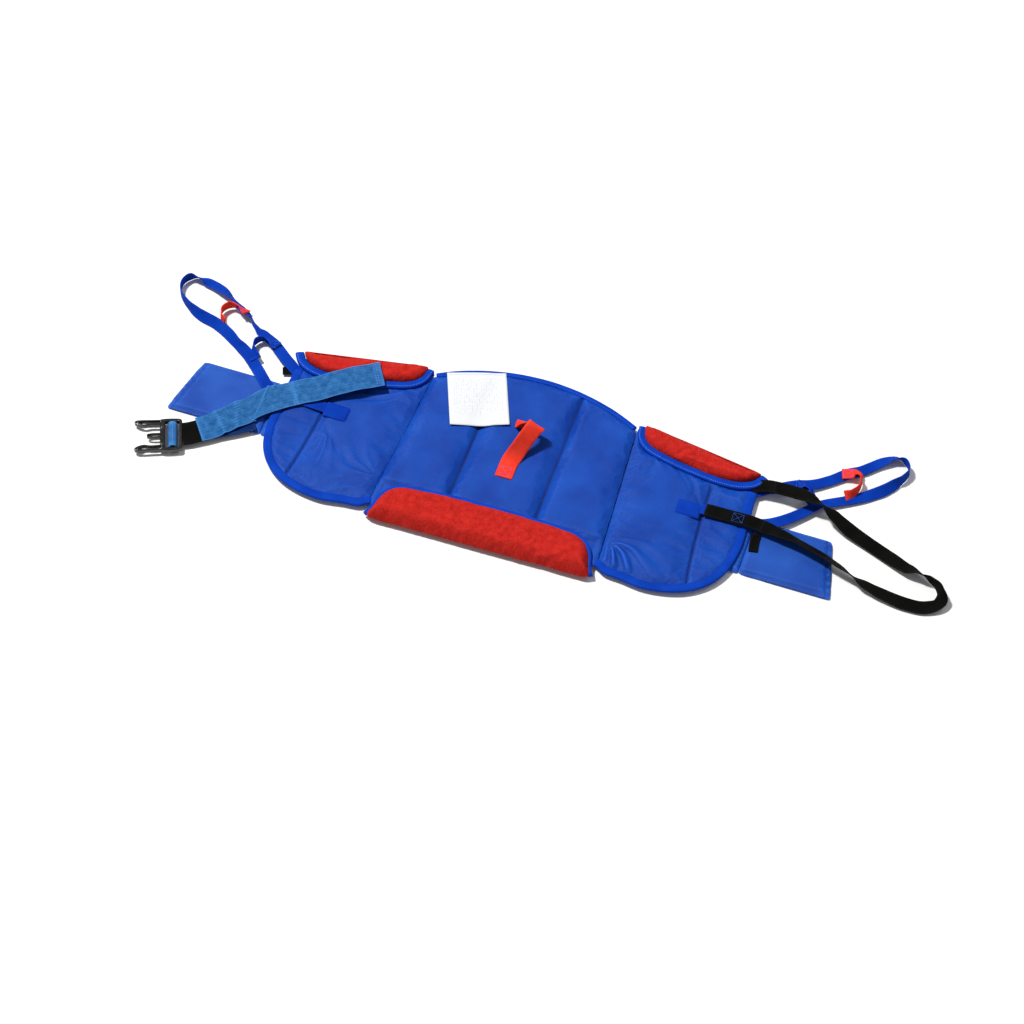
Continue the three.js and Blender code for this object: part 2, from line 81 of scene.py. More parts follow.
# ---- sizes shared with the CAD, in millimetres -------------------------------------------
ARC_R = 371
ARC_CENTRE = -196
FOLD_HIGH = (179, 137)
FOLD_LOW = (200, -175)
SEAM_X = 73
PANEL_LOW = -104
ROLL_EDGE = [(188, -170), (181, -146), (168, -128), (152, -119), (110, -114), (0, -111)]
ROLL_LOW = -186
ROLL_HALF = 194
PAD_SEAM = [(187, 128), (192, 105), (207, 89), (250, 75), (310, 64), (350, 60), (380, 62), (403, 72),
            (416, 92)]
FLEECE_SEAM = [(192, 136), (197, 115), (211, 101), (250, 88), (305, 78), (345, 74), (375, 78), (395, 90),
               (404, 102)]
PAD_FAR = [(404, 102), (377, 105), (305, 118), (240, 131), (212, 137), (192, 136)]
WING_EDGE = [(407, 64), (410, 5), (413, -42), (410, -75), (402, -105), (384, -134), (355, -157),
             (320, -170), (279, -175), (240, -170), (207, -160)]
WING_SEAM = [(331, 52), (332, 20), (334, -20), (338, -70), (343, -115), (349, -150)]
BELT_HALF, BELT_Y, BELT_SLOPE, BELT_SHIFT = 55, -30, -0.0185, -5
BELT_END = (556, 583)
EDGE_X = 420
WEB, BLACK, WAIST, TAB, HANDLE_W = 20, 25, 50, 16, 30  # widths of the webbings
WEB_T = 2
TAIL_RUN = (0.83, 0.56)  # the waist strap's direction over the left wing, towards its tail
HANDLE_LEAN = 30
BUCKLE_AT = (-546, -127, 9)
BUCKLE_TURN = 201
BUCKLE_W = 64
BUCKLE_T = 11
WING_TAPE = 14
ARC_TAPE = 9

# Webbing routes: x, y, z in millimetres, then how far the width is turned up from level.
LEFT_LOOP = [
    (-421, 74, 9, 0), (-431, 81, 9, 0), (-444, 92, 9, 0), (-460, 106, 7, 8), (-485, 119, 7, 15),
    (-502, 129, 9, 50), (-513, 140, 11, 80), (-532, 153, 8.5, 35), (-561, 172, 9, 55), (-589, 188, 6, 15),
    (-613, 196, 5, 10), (-633, 197, 9, 55), (-648, 193, 11, 90), (-656, 177, 11, 90), (-650, 156, 11, 90),
    (-631, 138, 10.5, 80), (-609, 126, 9, 55), (-592, 122, 6, 30), (-571, 117, 5, 20), (-543, 102, 6, 30),
    (-521, 86, 8, 50), (-502, 76, 6, 15), (-481, 57, 8, 20), (-464, 40, 10, 10), (-447, 23, 10.5, 0),
    (-434, 12, 11.5, 0), (-421, 4, 15, 0)]
LEFT_RUNG = [
    (-453, 99, 12.5, 0), (-468, 107, 13, 40), (-481, 107, 12, 75), (-491, 98, 12, 88), (-492, 86, 12, 80),
    (-486, 73, 11.5, 50), (-478, 62, 11, 15)]
LEFT_RED = [
    (-527, 149, 13, 25), (-544, 157, 14, 65), (-560, 156, 13, 88), (-569, 143, 13, 88), (-566, 129, 13, 85),
    (-556, 119, 12, 80)]
RIGHT_LOOP = [
    (421, 79, 9, 0), (434, 84, 9, 0), (447, 93, 9, 0), (463, 103, 8, 0), (488, 114, 6, 0), (514, 133, 4, 0),
    (538, 154, 5, 8), (560, 170, 4, 0), (582, 192, 5, -8), (604, 208, 8, -40), (624, 204, 11, -90),
    (634, 188, 11, -90), (628, 170, 11, -80), (614, 150, 9, -45), (597, 134, 6, -25), (568, 113, 4, 0),
    (539, 96, 5, 8), (513, 81, 6, 20), (498, 65, 7, 12), (481, 45, 8, 0), (459, 24, 10, 0),
    (438, 10, 11.5, 0), (421, 4, 14, 0)]
RIGHT_RUNG = [(466, 104, 11, 0), (479, 106, 11, -45), (491, 98, 11, -60), (496, 84, 10, -55),
              (493, 70, 10, -45)]
RIGHT_RED = [
    (529, 149, 8.6, 0), (538, 152, 8.9, 0), (547, 154, 10.5, -4), (556, 154, 14, -40), (563, 145, 14, -82),
    (564, 130, 12, -88), (557, 114, 10, -66), (546, 106, 9, -40)]
BLACK_LOOP = [
    (421, 79, 19, 0), (447, 80, 20, 0), (475, 77, 24, 0), (497, 73, 25, -20), (518, 68, 22, -55),
    (543, 56, 17, -15), (574, 42, 9, 5), (612, 28, 5, 0), (650, 13, 5, 0), (682, 0, 8, -15),
    (706, -7, 13.5, -55), (727, -14, 13.5, -85), (744, -27, 13, -105), (750, -46, 7, -160),
    (729, -62, 4, -180), (694, -65, 4, -180), (659, -60, 5, -170), (628, -53, 7, -155),
    (599, -45, 13, -120), (572, -35, 16, -135), (538, -24, 19, -140), (501, -14, 20, -140),
    (464, -5, 18, -160), (440, -1, 17, -180), (421, 1, 17.5, -180)]
WAIST_ROUTE = [
    (-259, 88, 29.5, 0), (-293, 68, 29.5, 0), (-320, 51, 28.5, 0), (-348, 33, 23, 0), (-380, 14, 20.5, 0),
    (-409, -5, 20, 0), (-434, -25, 16.5, 0), (-448, -41, 14, 0), (-463, -56, 13, 0), (-481, -75, 12.5, 0),
    (-498, -92, 12, 0), (-517, -106, 12, 0)]
UNDERLAY = [(-436, -58, 9.2, 0), (-460, -74, 9.0, 0), (-498, -98, 8.8, 0)]
BUCKLE_WEB = [(-503, -97, 9.8, 0), (-515, -107, 9.4, 0), (-528, -116, 9.0, 0), (-541, -123, 8.8, 0)]
BLACK_TAB = [(429, -13, 8.6, 0), (430, -30, 8.6, 0), (433, -48, 8.6, 0)]
LEFT_TAB = [(-407, 66, 7.2, 0), (-417, 62, 6, 0), (-428, 58, 4, 0)]


SIDES = (("left", -1), ("right", 1))


# ---- numbers and curves ------------------------------------------------------------------
def mirrored(points, side):
    """Outline points of the right half, or their mirror image for the left half."""
    return [(side * x, y) for x, y in points]


def plan(points, side=1):
    """Outline points in metres, mirrored for the left half."""
    return np.array(mirrored(points, side)) * MM


def unit(vectors):
    """Each row scaled to length one."""
    return vectors / np.linalg.norm(vectors, axis=1, keepdims=True)


def heading(line):
    """The direction of a line at each of its points."""
    return unit(np.gradient(line, axis=0))


def length_of(path):
    """A path's length, to the millimetre."""
    return round(float(np.linalg.norm(np.diff(path, axis=0), axis=1).sum()), 3)


def fold_x(y):
    """How far from the middle the fold line lies at height y, in millimetres."""
    (x1, y1), (x0, y0) = FOLD_HIGH, FOLD_LOW
    return x0 + (x1 - x0) * (y - y0) / (y1 - y0)


def spline(points, per=10):
    """Points on a centripetal Catmull-Rom curve; columns past the third are eased."""
    p = np.array(points, float)
    ends = np.vstack([2 * p[0] - p[1], p, 2 * p[-1] - p[-2]])
    space = min(3, p.shape[1])
    t = np.linspace(0, 1, per, endpoint=False)[:, None]
    out = []
    for a, b, c, d in zip(ends, ends[1:], ends[2:], ends[3:]):
        u, v, w = (max(np.linalg.norm(q[:space] - r[:space]) ** 0.5, 1e-4)
                   for q, r in ((a, b), (b, c), (c, d)))
        m1 = ((b - a) / u - (c - a) / (u + v) + (c - b) / v) * v
        m2 = ((c - b) / v - (d - b) / (v + w) + (d - c) / w) * v
        curve = (b + m1 * t + (-3 * b + 3 * c - 2 * m1 - m2) * t ** 2
                 + (2 * b - 2 * c + m1 + m2) * t ** 3)
        curve[:, space:] = b[space:] + (c - b)[space:] * (t * t * (3 - 2 * t))
        out.append(curve)
    return np.vstack(out + [p[-1:]])


def resample(points, step, closed=False):
    """The same line with points a near even step apart."""
    p = np.array(points, float)
    if closed:
        p = np.vstack([p, p[:1]])
    reach = np.linalg.norm(np.diff(p[:, :3], axis=0), axis=1)
    s = np.concatenate([[0], np.cumsum(reach)])
    t = np.linspace(0, s[-1], max(2, round(s[-1] / step)) + 1)
    out = np.stack([np.interp(t, s, p[:, k]) for k in range(p.shape[1])], 1)
    return out[:-1] if closed else out


def noise_at(points, scale, seed):
    """Smooth noise of about -1 to 1 at each point, with features 1/scale across."""
    return np.array([noise.noise(Vector((p[0] * scale + seed, p[1] * scale - seed, p[2] * scale)))
                     for p in points])


def waver(flat, scale, seed=0.0):
    """The same noise over points in plan."""
    return noise_at(np.column_stack([flat, flat[:, 0] * 0]), scale, seed)


def within(polygon, points):
    """Which points lie inside a closed outline."""
    a = np.array(polygon)
    b = np.roll(a, -1, 0)
    x, y = points[:, :1], points[:, 1:2]
    crosses = (a[:, 1] > y) != (b[:, 1] > y)
    rise = np.where(np.abs(b[:, 1] - a[:, 1]) < 1e-12, 1e-12, b[:, 1] - a[:, 1])
    return (crosses & (x < a[:, 0] + (b[:, 0] - a[:, 0]) * (y - a[:, 1]) / rise)).sum(1) % 2 == 1


def away(line, points, closed=False):
    """Distance in plan from each point to a line."""
    a = np.array(line)[:, :2]
    b = np.roll(a, -1, 0) if closed else a[1:]
    a = a if closed else a[:-1]
    d = b - a
    q = points[:, None, :2] - a
    t = np.clip((q * d).sum(2) / np.maximum((d * d).sum(1), 1e-12), 0, 1)
    return np.sqrt(((q - t[..., None] * d) ** 2).sum(2)).min(1)


# ---- meshes ------------------------------------------------------------------------------
def mesh_object(name, points, faces, material, uv=None):
    mesh = bpy.data.meshes.new(name)
    mesh.from_pydata([tuple(p) for p in points], [], [tuple(f) for f in faces])
    mesh.validate()
    mesh.update()
    if uv is not None:
        layer = mesh.uv_layers.new(name="metres")
        loops = np.zeros(len(mesh.loops), int)
        mesh.loops.foreach_get("vertex_index", loops)
        layer.data.foreach_set("uv", np.array(uv, np.float32)[loops].ravel())
    mesh.polygons.foreach_set("use_smooth", [True] * len(mesh.polygons))
    mesh.materials.append(material)
    obj = bpy.data.objects.new(name, mesh)
    bpy.context.scene.collection.objects.link(obj)
    return obj


def smoothed(obj):
    """The object with its mesh subdivided for good, so that it can be displaced or blended."""
    modifier = obj.modifiers.new("smooth", "SUBSURF")
    modifier.levels = modifier.render_levels = 1
    graph = bpy.context.evaluated_depsgraph_get()
    mesh = bpy.data.meshes.new_from_object(obj.evaluated_get(graph))
    obj.modifiers.clear()
    obj.data = mesh
    mesh.polygons.foreach_set("use_smooth", [True] * len(mesh.polygons))
    return obj


def points_of(obj):
    co = np.zeros(len(obj.data.vertices) * 3)
    obj.data.vertices.foreach_get("co", co)
    return co.reshape(-1, 3)


def set_points(obj, points):
    obj.data.vertices.foreach_set("co", np.array(points, np.float32).ravel())
    obj.data.update()


def net(outline, seams, step):
    """A triangle net of a flat outline: points, triangles, and which points are on its rim."""
    rim = resample(outline, step, closed=True)
    lines = [resample(s, step) for s in seams]
    low, high = rim.min(0), rim.max(0)
    rows = np.arange(low[1] + step / 2, high[1], step * 0.866)
    grid = np.array([(x, y) for i, y in enumerate(rows)
                     for x in np.arange(low[0] + step * (0.5 + 0.5 * (i % 2)), high[0], step)])
    keep = within(rim, grid) & (away(rim, grid, closed=True) > step * 0.6)
    for line in lines:
        keep &= away(line, grid) > step * 0.6
    grid = grid[keep]
    points = list(rim)
    edges = [(i, (i + 1) % len(rim)) for i in range(len(rim))]
    for line in lines:
        first = len(points)
        points += list(line)
        edges += [(first + i, first + i + 1) for i in range(len(line) - 1)]
    points += list(grid)
    cut = geometry.delaunay_2d_cdt([Vector(p[:2]) for p in points], edges, [], 1, 1e-6, True)
    flat, faces = np.array([tuple(p) for p in cut[0]]), cut[2]
    used = np.unique(np.array(faces).ravel())
    renumber = -np.ones(len(flat), int)
    renumber[used] = np.arange(len(used))
    flat = flat[used]
    faces = [tuple(renumber[list(f)]) for f in faces]
    return flat, faces, away(rim, flat, closed=True) < 1e-5


def rim_edges(faces):
    """Edges that only one face uses, in that face's direction."""
    seen = {}
    for face in faces:
        for i in range(len(face)):
            a, b = face[i], face[(i + 1) % len(face)]
            seen[(a, b)] = (b, a)
    return [e for e in seen if seen[e] not in seen]


def swell(points, faces, pinned, pressure, ease, cap):
    """Where cloth cut a little too large for its sewn lines goes when the padding pushes it."""
    mesh = bpy.data.meshes.new("swelling")
    mesh.from_pydata([tuple(p) for p in points], [], faces)
    obj = bpy.data.objects.new("swelling", mesh)
    scene = bpy.context.scene
    scene.collection.objects.link(obj)
    group = obj.vertex_groups.new(name="sewn")
    group.add([int(i) for i in np.nonzero(pinned)[0]], 1.0, "REPLACE")
    cloth = obj.modifiers.new("cloth", "CLOTH")
    for key, value in {"vertex_group_mass": "sewn", "quality": 6, "mass": 0.2, "tension_stiffness": 12,
                       "compression_stiffness": 8, "shear_stiffness": 4, "bending_stiffness": 0.5,
                       "shrink_min": -ease, "use_pressure": True,
                       "uniform_pressure_force": pressure}.items():
        setattr(cloth.settings, key, value)
    cloth.settings.effector_weights.gravity = 0
    cloth.collision_settings.use_collision = False
    cloth.point_cache.frame_end = CLOTH_FRAMES
    for step in range(1, CLOTH_FRAMES + 1):
        scene.frame_set(step)
    graph = bpy.context.evaluated_depsgraph_get()
    swollen = obj.evaluated_get(graph).to_mesh()
    shift = np.array([v.co for v in swollen.vertices]) - points
    scene.frame_set(1)
    bpy.data.objects.remove(obj)
    far = np.linalg.norm(shift, axis=1, keepdims=True)
    return points + shift * np.minimum(1, cap / np.maximum(far, 1e-9))


def closed_body(name, flat, faces, top, bottom, material):
    """A closed skin: one net above, the same net below, joined by a wall around the rim."""
    count = len(flat)
    points = np.vstack([np.column_stack([flat, top]) if np.ndim(top) == 1 else top,
                        np.column_stack([flat, bottom])])
    under = [(c + count, b + count, a + count) for a, b, c in faces]
    wall = [(b, a, a + count, b + count) for a, b in rim_edges(faces)]
    return mesh_object(name, points, list(faces) + under + wall, material, np.vstack([flat, flat]))


def crown(distance, width, power):
    """Share of the full height at a distance in from the sewn edge."""
    return 1 - (1 - np.clip(distance / width, 0, 1)) ** power


def drop_tool(obj):
    """A function that finds the height of an object's top surface under a point."""
    tree = BVHTree.FromPolygons([v.co.copy() for v in obj.data.vertices],
                                [tuple(p.vertices) for p in obj.data.polygons])

    def drop(x, y, otherwise):
        hit = tree.ray_cast(Vector((x, y, 0.3)), Vector((0, 0, -1)))[0]
        return otherwise if hit is None else hit.z

    return drop


def laid(line, surface, otherwise):
    """A line in plan, laid just above an object's top surface."""
    drop = drop_tool(surface)
    return [(x, y, drop(x, y, otherwise) + LAID_GAP) for x, y in line]


def declare(obj, slot, body, *nodes):
    """Attaches a piece to the body it rides and hides the CAD nodes it stands for; the slot is not used."""
    if body:
        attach(obj, body)
    if nodes:
        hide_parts(*nodes)


# ---- webbing, tape and stitches ----------------------------------------------------------
def frames_along(path, tilt):
    """The direction, width direction and face direction at each point of a webbing's path."""
    along = heading(path)
    level = unit(np.cross(UP, along))
    upright = np.cross(along, level)
    across = np.cos(tilt)[:, None] * level + np.sin(tilt)[:, None] * upright
    return along, across, np.cross(along, across)


def ribbon_section(width, thick, ribs=0):
    """A flat webbing's section: across and up, with rounded selvedges and any woven ribs."""
    half, edge = width / 2, thick / 2
    xs = np.linspace(-half + edge, half - edge, 9 + 5 * ribs)
    upper = [(x, edge + RIB_HEIGHT * (math.cos(2 * math.pi * ribs * (x / width + 0.5)) - 1) / 2) for x in xs]
    round_right = [(half - edge * 0.3, edge * 0.6), (half, 0), (half - edge * 0.3, -edge * 0.6)]
    lower = [(x, -edge) for x in xs[::-1]]
    round_left = [(-x, z) for x, z in round_right[::-1]]
    return np.array(upper + round_right + lower + round_left)


def sweep(name, path, across, normal, section, material, scale=1.0, cup=0.0, slant=0.0):
    """A closed section carried along a path, with both ends capped."""
    rings, count = len(path), len(section)
    scale, cup, slant = (np.broadcast_to(v, rings) for v in (scale, cup, slant))
    reach = np.concatenate([[0], np.cumsum(np.linalg.norm(np.diff(path, axis=0), axis=1))])
    wide, high = section.T
    bow = (wide / np.abs(wide).max()) ** 2
    along = np.cross(across, normal)
    points = [path[i] + np.outer(wide * scale[i], across[i]) + np.outer(high + bow * cup[i], normal[i])
              + np.outer(wide * slant[i], along[i]) for i in range(rings)]
    uv = [np.column_stack([wide, np.full(count, r)]) for r in reach]
    faces = [(i * count + k, i * count + (k + 1) % count, (i + 1) * count + (k + 1) % count,
              (i + 1) * count + k) for i in range(rings - 1) for k in range(count)]
    faces.append(tuple(range(count))[::-1])
    faces.append(tuple((rings - 1) * count + k for k in range(count)))
    return facing_out(mesh_object(name, np.vstack(points), faces, material, np.vstack(uv)))


def facing_out(obj):
    """Turns every face the right way round by the sign of the enclosed volume."""
    mesh = obj.data
    co = points_of(obj)
    mesh.calc_loop_triangles()
    tri = np.array([t.vertices[:] for t in mesh.loop_triangles])
    a, b, c = co[tri[:, 0]], co[tri[:, 1]], co[tri[:, 2]]
    if (np.cross(a, b) * c).sum() < 0:
        mesh.flip_normals()
    return obj


def stitch_row(points, length, gap, radius):
    """Short raised threads along a line of 3-D points in metres: vertices and faces."""
    line = resample(points, STITCH_STEP * MM)
    every, span = (int(round(reach / STITCH_STEP)) for reach in (length + gap, length))
    verts, faces = [], []
    for start in range(0, len(line) - span, every):
        a, b = line[start], line[start + span]
        direction = (b - a) / max(np.linalg.norm(b - a), 1e-9)
        side = np.cross(UP, direction)
        side /= max(np.linalg.norm(side), 1e-9)
        rise = np.cross(direction, side)
        first = len(verts)
        for share, size in ((0, 0.25), (0.2, 0.9), (0.5, 1.0), (0.8, 0.9), (1, 0.25)):
            centre = a + (b - a) * share
            for k in range(6):
                angle = k * math.pi / 3
                verts.append(centre + radius * MM * size * (math.cos(angle) * side
                                                            + math.sin(angle) * rise))
        for ring in range(4):
            for k in range(6):
                p, q = first + ring * 6 + k, first + ring * 6 + (k + 1) % 6
                faces.append((p, q, q + 6, p + 6))
        faces.append(tuple(first + k for k in range(6))[::-1])
        faces.append(tuple(first + 24 + k for k in range(6)))
    return verts, faces


def stitches(name, rows, material, slot, body, length=2.6, gap=1.3, radius=0.38):
    """One piece holding several rows of stitches, riding a body."""
    verts, faces = [], []
    for row in rows:
        v, f = stitch_row(np.array(row), length, gap, radius)
        faces += [tuple(i + len(verts) for i in face) for face in f]
        verts += v
    declare(facing_out(mesh_object(name, verts, faces, material, np.array(verts)[:, :2])), slot, body)


def edge_tape(name, line, side, profile, height, lift):
    """A folded tape sewn over an edge, raised by lift. The profile's first number points off the edge."""
    path = np.column_stack([line, np.full(len(line), height)])
    off = side * np.cross(heading(path), UP)
    normal = np.tile(UP, (len(path), 1))
    return sweep(name, path + normal * lift[:, None], off, normal, np.array(profile) * MM, BINDING)


# ---- materials ---------------------------------------------------------------------------
class Nodes:
    """A material's node tree with short ways to add and join nodes."""

    def __init__(self, name):
        self.material = bpy.data.materials.new(name)
        self.material.use_nodes = True
        self.tree = self.material.node_tree
        self.shader = self.tree.nodes["Principled BSDF"]

    def add(self, kind, values=(), **settings):
        node = self.tree.nodes.new("ShaderNode" + kind)
        for key, value in settings.items():
            setattr(node, key, value)
        for key, value in dict(values).items():
            self.feed(node.inputs[key], value)
        return node

    def feed(self, socket, value):
        """Joins a node's output to a socket, or sets the socket's own value."""
        if isinstance(value, bpy.types.NodeSocket):
            self.tree.links.new(value, socket)
        else:
            socket.default_value = value

    def math(self, operation, a, b=0.0):
        return self.add("Math", {0: a, 1: b}, operation=operation).outputs[0]

    def mix(self, share, a, b):
        node = self.add("Mix", {"Factor": share}, data_type="RGBA")
        for key, value in ((6, a), (7, b)):
            self.feed(node.inputs[key], (*value, 1) if isinstance(value, tuple) else value)
        return node.outputs[2]

    def sum(self, a, share_a, b, share_b):
        """Two values added up, each times its share."""
        return self.math("ADD", self.math("MULTIPLY", a, share_a), self.math("MULTIPLY", b, share_b))

    def ramp(self, value, low, high, to_low=0.0, to_high=1.0):
        return self.add("MapRange", {"Value": value, "From Min": low, "From Max": high,
                                     "To Min": to_low, "To Max": to_high}).outputs[0]

    def bump(self, height, strength, distance):
        return self.add("Bump", {"Height": height, "Strength": strength, "Distance": distance}).outputs[0]

    def surface(self, inputs):
        """The material, with these inputs of its surface shader joined or set."""
        for key, value in inputs.items():
            self.feed(self.shader.inputs[key], value)
        return self.material


def linear(red, green, blue):
    """A colour from its 0-255 display values."""
    return tuple(((c / 255 + 0.055) / 1.055) ** 2.4 if c > 10 else c / 255 / 12.92
                 for c in (red, green, blue))


def toned(colour, factor, lift=0.0):
    """A darker or paler shade of a colour."""
    return tuple(min(1, c * factor + lift) for c in colour)


def fabric(name, dark, light, weave, pitch, depth, rough, sheen, tint=None, patch=28, fold_shading=0.5,
           gloss=0.04, loose=0.6, show=0.38, printed=False):
    """Woven cloth: a weave of that pitch in metres, uneven dye, painted highlights on raised folds, and
    painted shade in creases and along seams.
    """
    dark, light, tint = (linear(*colour) for colour in (dark, light, tint or light))
    n = Nodes(name)
    place = n.add("UVMap", uv_map="metres").outputs[0]
    broad = n.add("TexNoise", {"Vector": place, "Scale": patch, "Detail": 3}).outputs[0]
    fine = n.add("TexNoise", {"Vector": place, "Scale": 700, "Detail": 2}).outputs[0]

    def waves(direction, factor=1.0):
        return n.add("TexWave", {"Vector": place, "Scale": WAVE_SCALE / pitch * factor,
                                 "Distortion": loose, "Detail": 1, "Detail Scale": 2},
                     bands_direction=direction).outputs[1]

    if weave == "plain":
        height = n.math("MAXIMUM", waves("X"), waves("Y"))
    elif weave == "rib":
        height = n.sum(waves("X"), 0.7, waves("Y", 1.6), 0.3)
    else:
        height = n.sum(waves("Y"), 0.7, waves("X", 0.8), 0.3)
    shade = n.sum(broad, 0.65, fine, 0.35)
    colour = n.mix(n.ramp(shade, 0.36, 0.64), dark, light)
    colour = n.mix(n.ramp(height, 0.0, 0.7, show, 0.0), colour, toned(dark, 0.45))
    # Painted highlight on raised folds and painted shade in creases, both taken from the mesh's pointiness.
    crease = n.add("NewGeometry").outputs["Pointiness"]
    colour = n.mix(n.ramp(crease, 0.505, 0.56, 0.0, fold_shading), colour, toned(light, 1.35, 0.012))
    colour = n.mix(n.ramp(crease, 0.43, 0.495, 0.6 * fold_shading, 0.0), colour, toned(dark, 0.4))
    # Painted shade along the quilted seams' grooves, from each point's stored nearness to a seam.
    sewn = n.add("Attribute", attribute_name="sewn").outputs["Fac"]
    colour = n.mix(n.ramp(sewn, 0.0, 1.0, 0.0, 0.75), colour, toned(dark, 0.3))
    if printed:
        colour = n.mix(printed_lines(n, place), colour, linear(120, 125, 135))
    bumps = n.math("ADD", height, n.math("MULTIPLY", fine, 0.5))
    return n.surface({"Base Color": colour, "Roughness": n.ramp(shade, 0.3, 0.7, rough + 0.08, rough - 0.08),
                      "Normal": n.bump(bumps, 0.8, depth), "Sheen Weight": sheen,
                      "Sheen Roughness": 0.45, "Sheen Tint": (*tint, 1), "Specular IOR Level": gloss})


def printed_lines(n, place):
    """Faint broken lines of no wording, inside a label's margins."""
    split = n.add("SeparateXYZ", {"Vector": place})
    across, down = n.math("ABSOLUTE", split.outputs[0]), split.outputs[1]

    def stripes(pitch, direction):
        return n.add("TexWave", {"Vector": place, "Scale": WAVE_SCALE / pitch},
                     bands_direction=direction).outputs[1]

    words = n.add("TexNoise", {"Vector": place, "Scale": 230, "Detail": 1}).outputs[0]
    ink = n.math("MULTIPLY", n.ramp(stripes(0.0042, "X"), 0.72, 0.9), n.ramp(words, 0.5, 0.56))
    inside = n.math("MULTIPLY", n.ramp(across, 0.041, 0.042, 1.0, 0.0), n.ramp(down, -0.090, -0.089))
    inside = n.math("MULTIPLY", inside, n.ramp(down, -0.012, -0.011, 1.0, 0.0))
    rule = n.math("MULTIPLY", n.ramp(stripes(0.014, "Y"), 0.985, 0.995),
                  n.ramp(across, 0.043, 0.044, 1.0, 0.0))
    return n.sum(n.math("MULTIPLY", ink, inside), 0.24, rule, 0.08)


def fleece(name, dark, light):
    """Brushed fleece: tufts of two sizes, no weave showing, and a painted highlight along raised edges."""
    n = Nodes(name)
    place = n.add("UVMap", uv_map="metres").outputs[0]
    tuft = n.add("TexNoise", {"Vector": place, "Scale": 420, "Detail": 4, "Roughness": 0.7}).outputs[0]
    clump = n.add("TexNoise", {"Vector": place, "Scale": 95, "Detail": 3}).outputs[0]
    hair = n.add("TexVoronoi", {"Vector": place, "Scale": 900}).outputs[0]
    colour = n.mix(n.ramp(n.sum(tuft, 0.6, clump, 0.4), 0.4, 0.62), dark, light)
    # Painted highlight: paler where the surface rises to an edge or ridge.
    crease = n.add("NewGeometry").outputs["Pointiness"]
    colour = n.mix(n.ramp(crease, 0.51, 0.58, 0.0, 0.35), colour, toned(light, 1.2, 0.02))
    bumps = n.math("ADD", tuft, n.math("MULTIPLY", hair, 0.4))
    return n.surface({"Base Color": colour, "Roughness": 0.95, "Normal": n.bump(bumps, 0.9, 0.0007),
                      "Sheen Weight": 0.2, "Sheen Roughness": 0.6, "Sheen Tint": (*light, 1),
                      "Specular IOR Level": 0.1})


def plastic(name, dark, light):
    """Moulded plastic: a fine spark-eroded grain and painted highlights along its edges."""
    n = Nodes(name)
    place = n.add("TexCoord").outputs["Object"]
    grain = n.add("TexNoise", {"Vector": place, "Scale": 1800, "Detail": 2}).outputs[0]
    smear = n.add("TexNoise", {"Vector": place, "Scale": 90, "Detail": 3}).outputs[0]
    crease = n.add("NewGeometry").outputs["Pointiness"]
    colour = n.mix(n.ramp(smear, 0.35, 0.65), dark, light)
    # Painted highlight: paler where the surface turns sharply, at the edges.
    colour = n.mix(n.ramp(crease, 0.52, 0.6, 0.0, 0.6), colour, toned(light, 2.5))
    return n.surface({"Base Color": colour, "Roughness": n.ramp(smear, 0.3, 0.7, 0.14, 0.24),
                      "Normal": n.bump(grain, 0.25, 0.0001), "Specular IOR Level": 0.6})


NYLON = fabric("quilted_nylon", (4, 52, 145), (15, 74, 174), "plain", 0.0026, 0.0004, 0.48, 0.05,
               tint=(50, 130, 235), patch=14, fold_shading=0.9, gloss=0.13, show=0.62)
LINING = fabric("belt_nylon", (12, 62, 154), (26, 84, 180), "plain", 0.0024, 0.0004, 0.5, 0.05,
                tint=(60, 135, 240), patch=14, fold_shading=0.8, gloss=0.18, show=0.6)
BINDING = fabric("binding_tape", (2, 50, 155), (5, 64, 178), "band", 0.0013, 0.00018, 0.65, 0.0, fold_shading=0.25)
BLUE_WEB = fabric("blue_webbing", (2, 46, 150), (6, 61, 174), "rib", 0.0016, 0.0003, 0.65, 0.01, fold_shading=0.35)
STEEL_WEB = fabric("steel_blue_webbing", (26, 78, 132), (52, 112, 174), "rib", 0.0034, 0.0006, 0.85, 0.12,
                   tint=(110, 160, 215), patch=85, fold_shading=0.9, gloss=0.08, loose=5)
# A darker copy of the steel-blue webbing: painted shade for the underlay lying under the waist strap.
SHADED_UNDER_WEB = fabric("shaded_underlay_webbing", (8, 30, 78), (16, 48, 108), "rib", 0.0034, 0.0005, 0.85, 0.02)
BLACK_WEB = fabric("black_webbing", (5, 6, 5), (15, 16, 14), "rib", 0.0017, 0.0004, 0.75, 0.0, fold_shading=0.3)
RED_WEB = fabric("red_webbing", (226, 48, 32), (248, 74, 54), "rib", 0.0016, 0.0003, 0.7, 0.03, fold_shading=0.15)
LABEL = fabric("label_satin", (211, 214, 217), (215, 218, 221), "plain", 0.0006, 0.00005, 0.6, 0.0,
               fold_shading=0.0, show=0.0, printed=True)
FLEECE = fleece("red_fleece", linear(162, 24, 18), linear(190, 42, 35))
LILAC_THREAD, BLUE_THREAD, DARK_THREAD, PALE_THREAD = (
    fabric(name + "_thread", dark, light, "band", 0.0008, 0.0001, 0.5, 0.05)
    for name, dark, light in (("lilac", (96, 80, 170), (130, 115, 195)),
                              ("blue", (30, 80, 200), (55, 105, 220)),
                              ("dark_blue", (4, 22, 96), (10, 34, 120)),
                              ("pale_blue", (80, 125, 215), (110, 150, 230))))
PLASTIC = plastic("black_plastic", linear(10, 11, 11), linear(22, 23, 23))


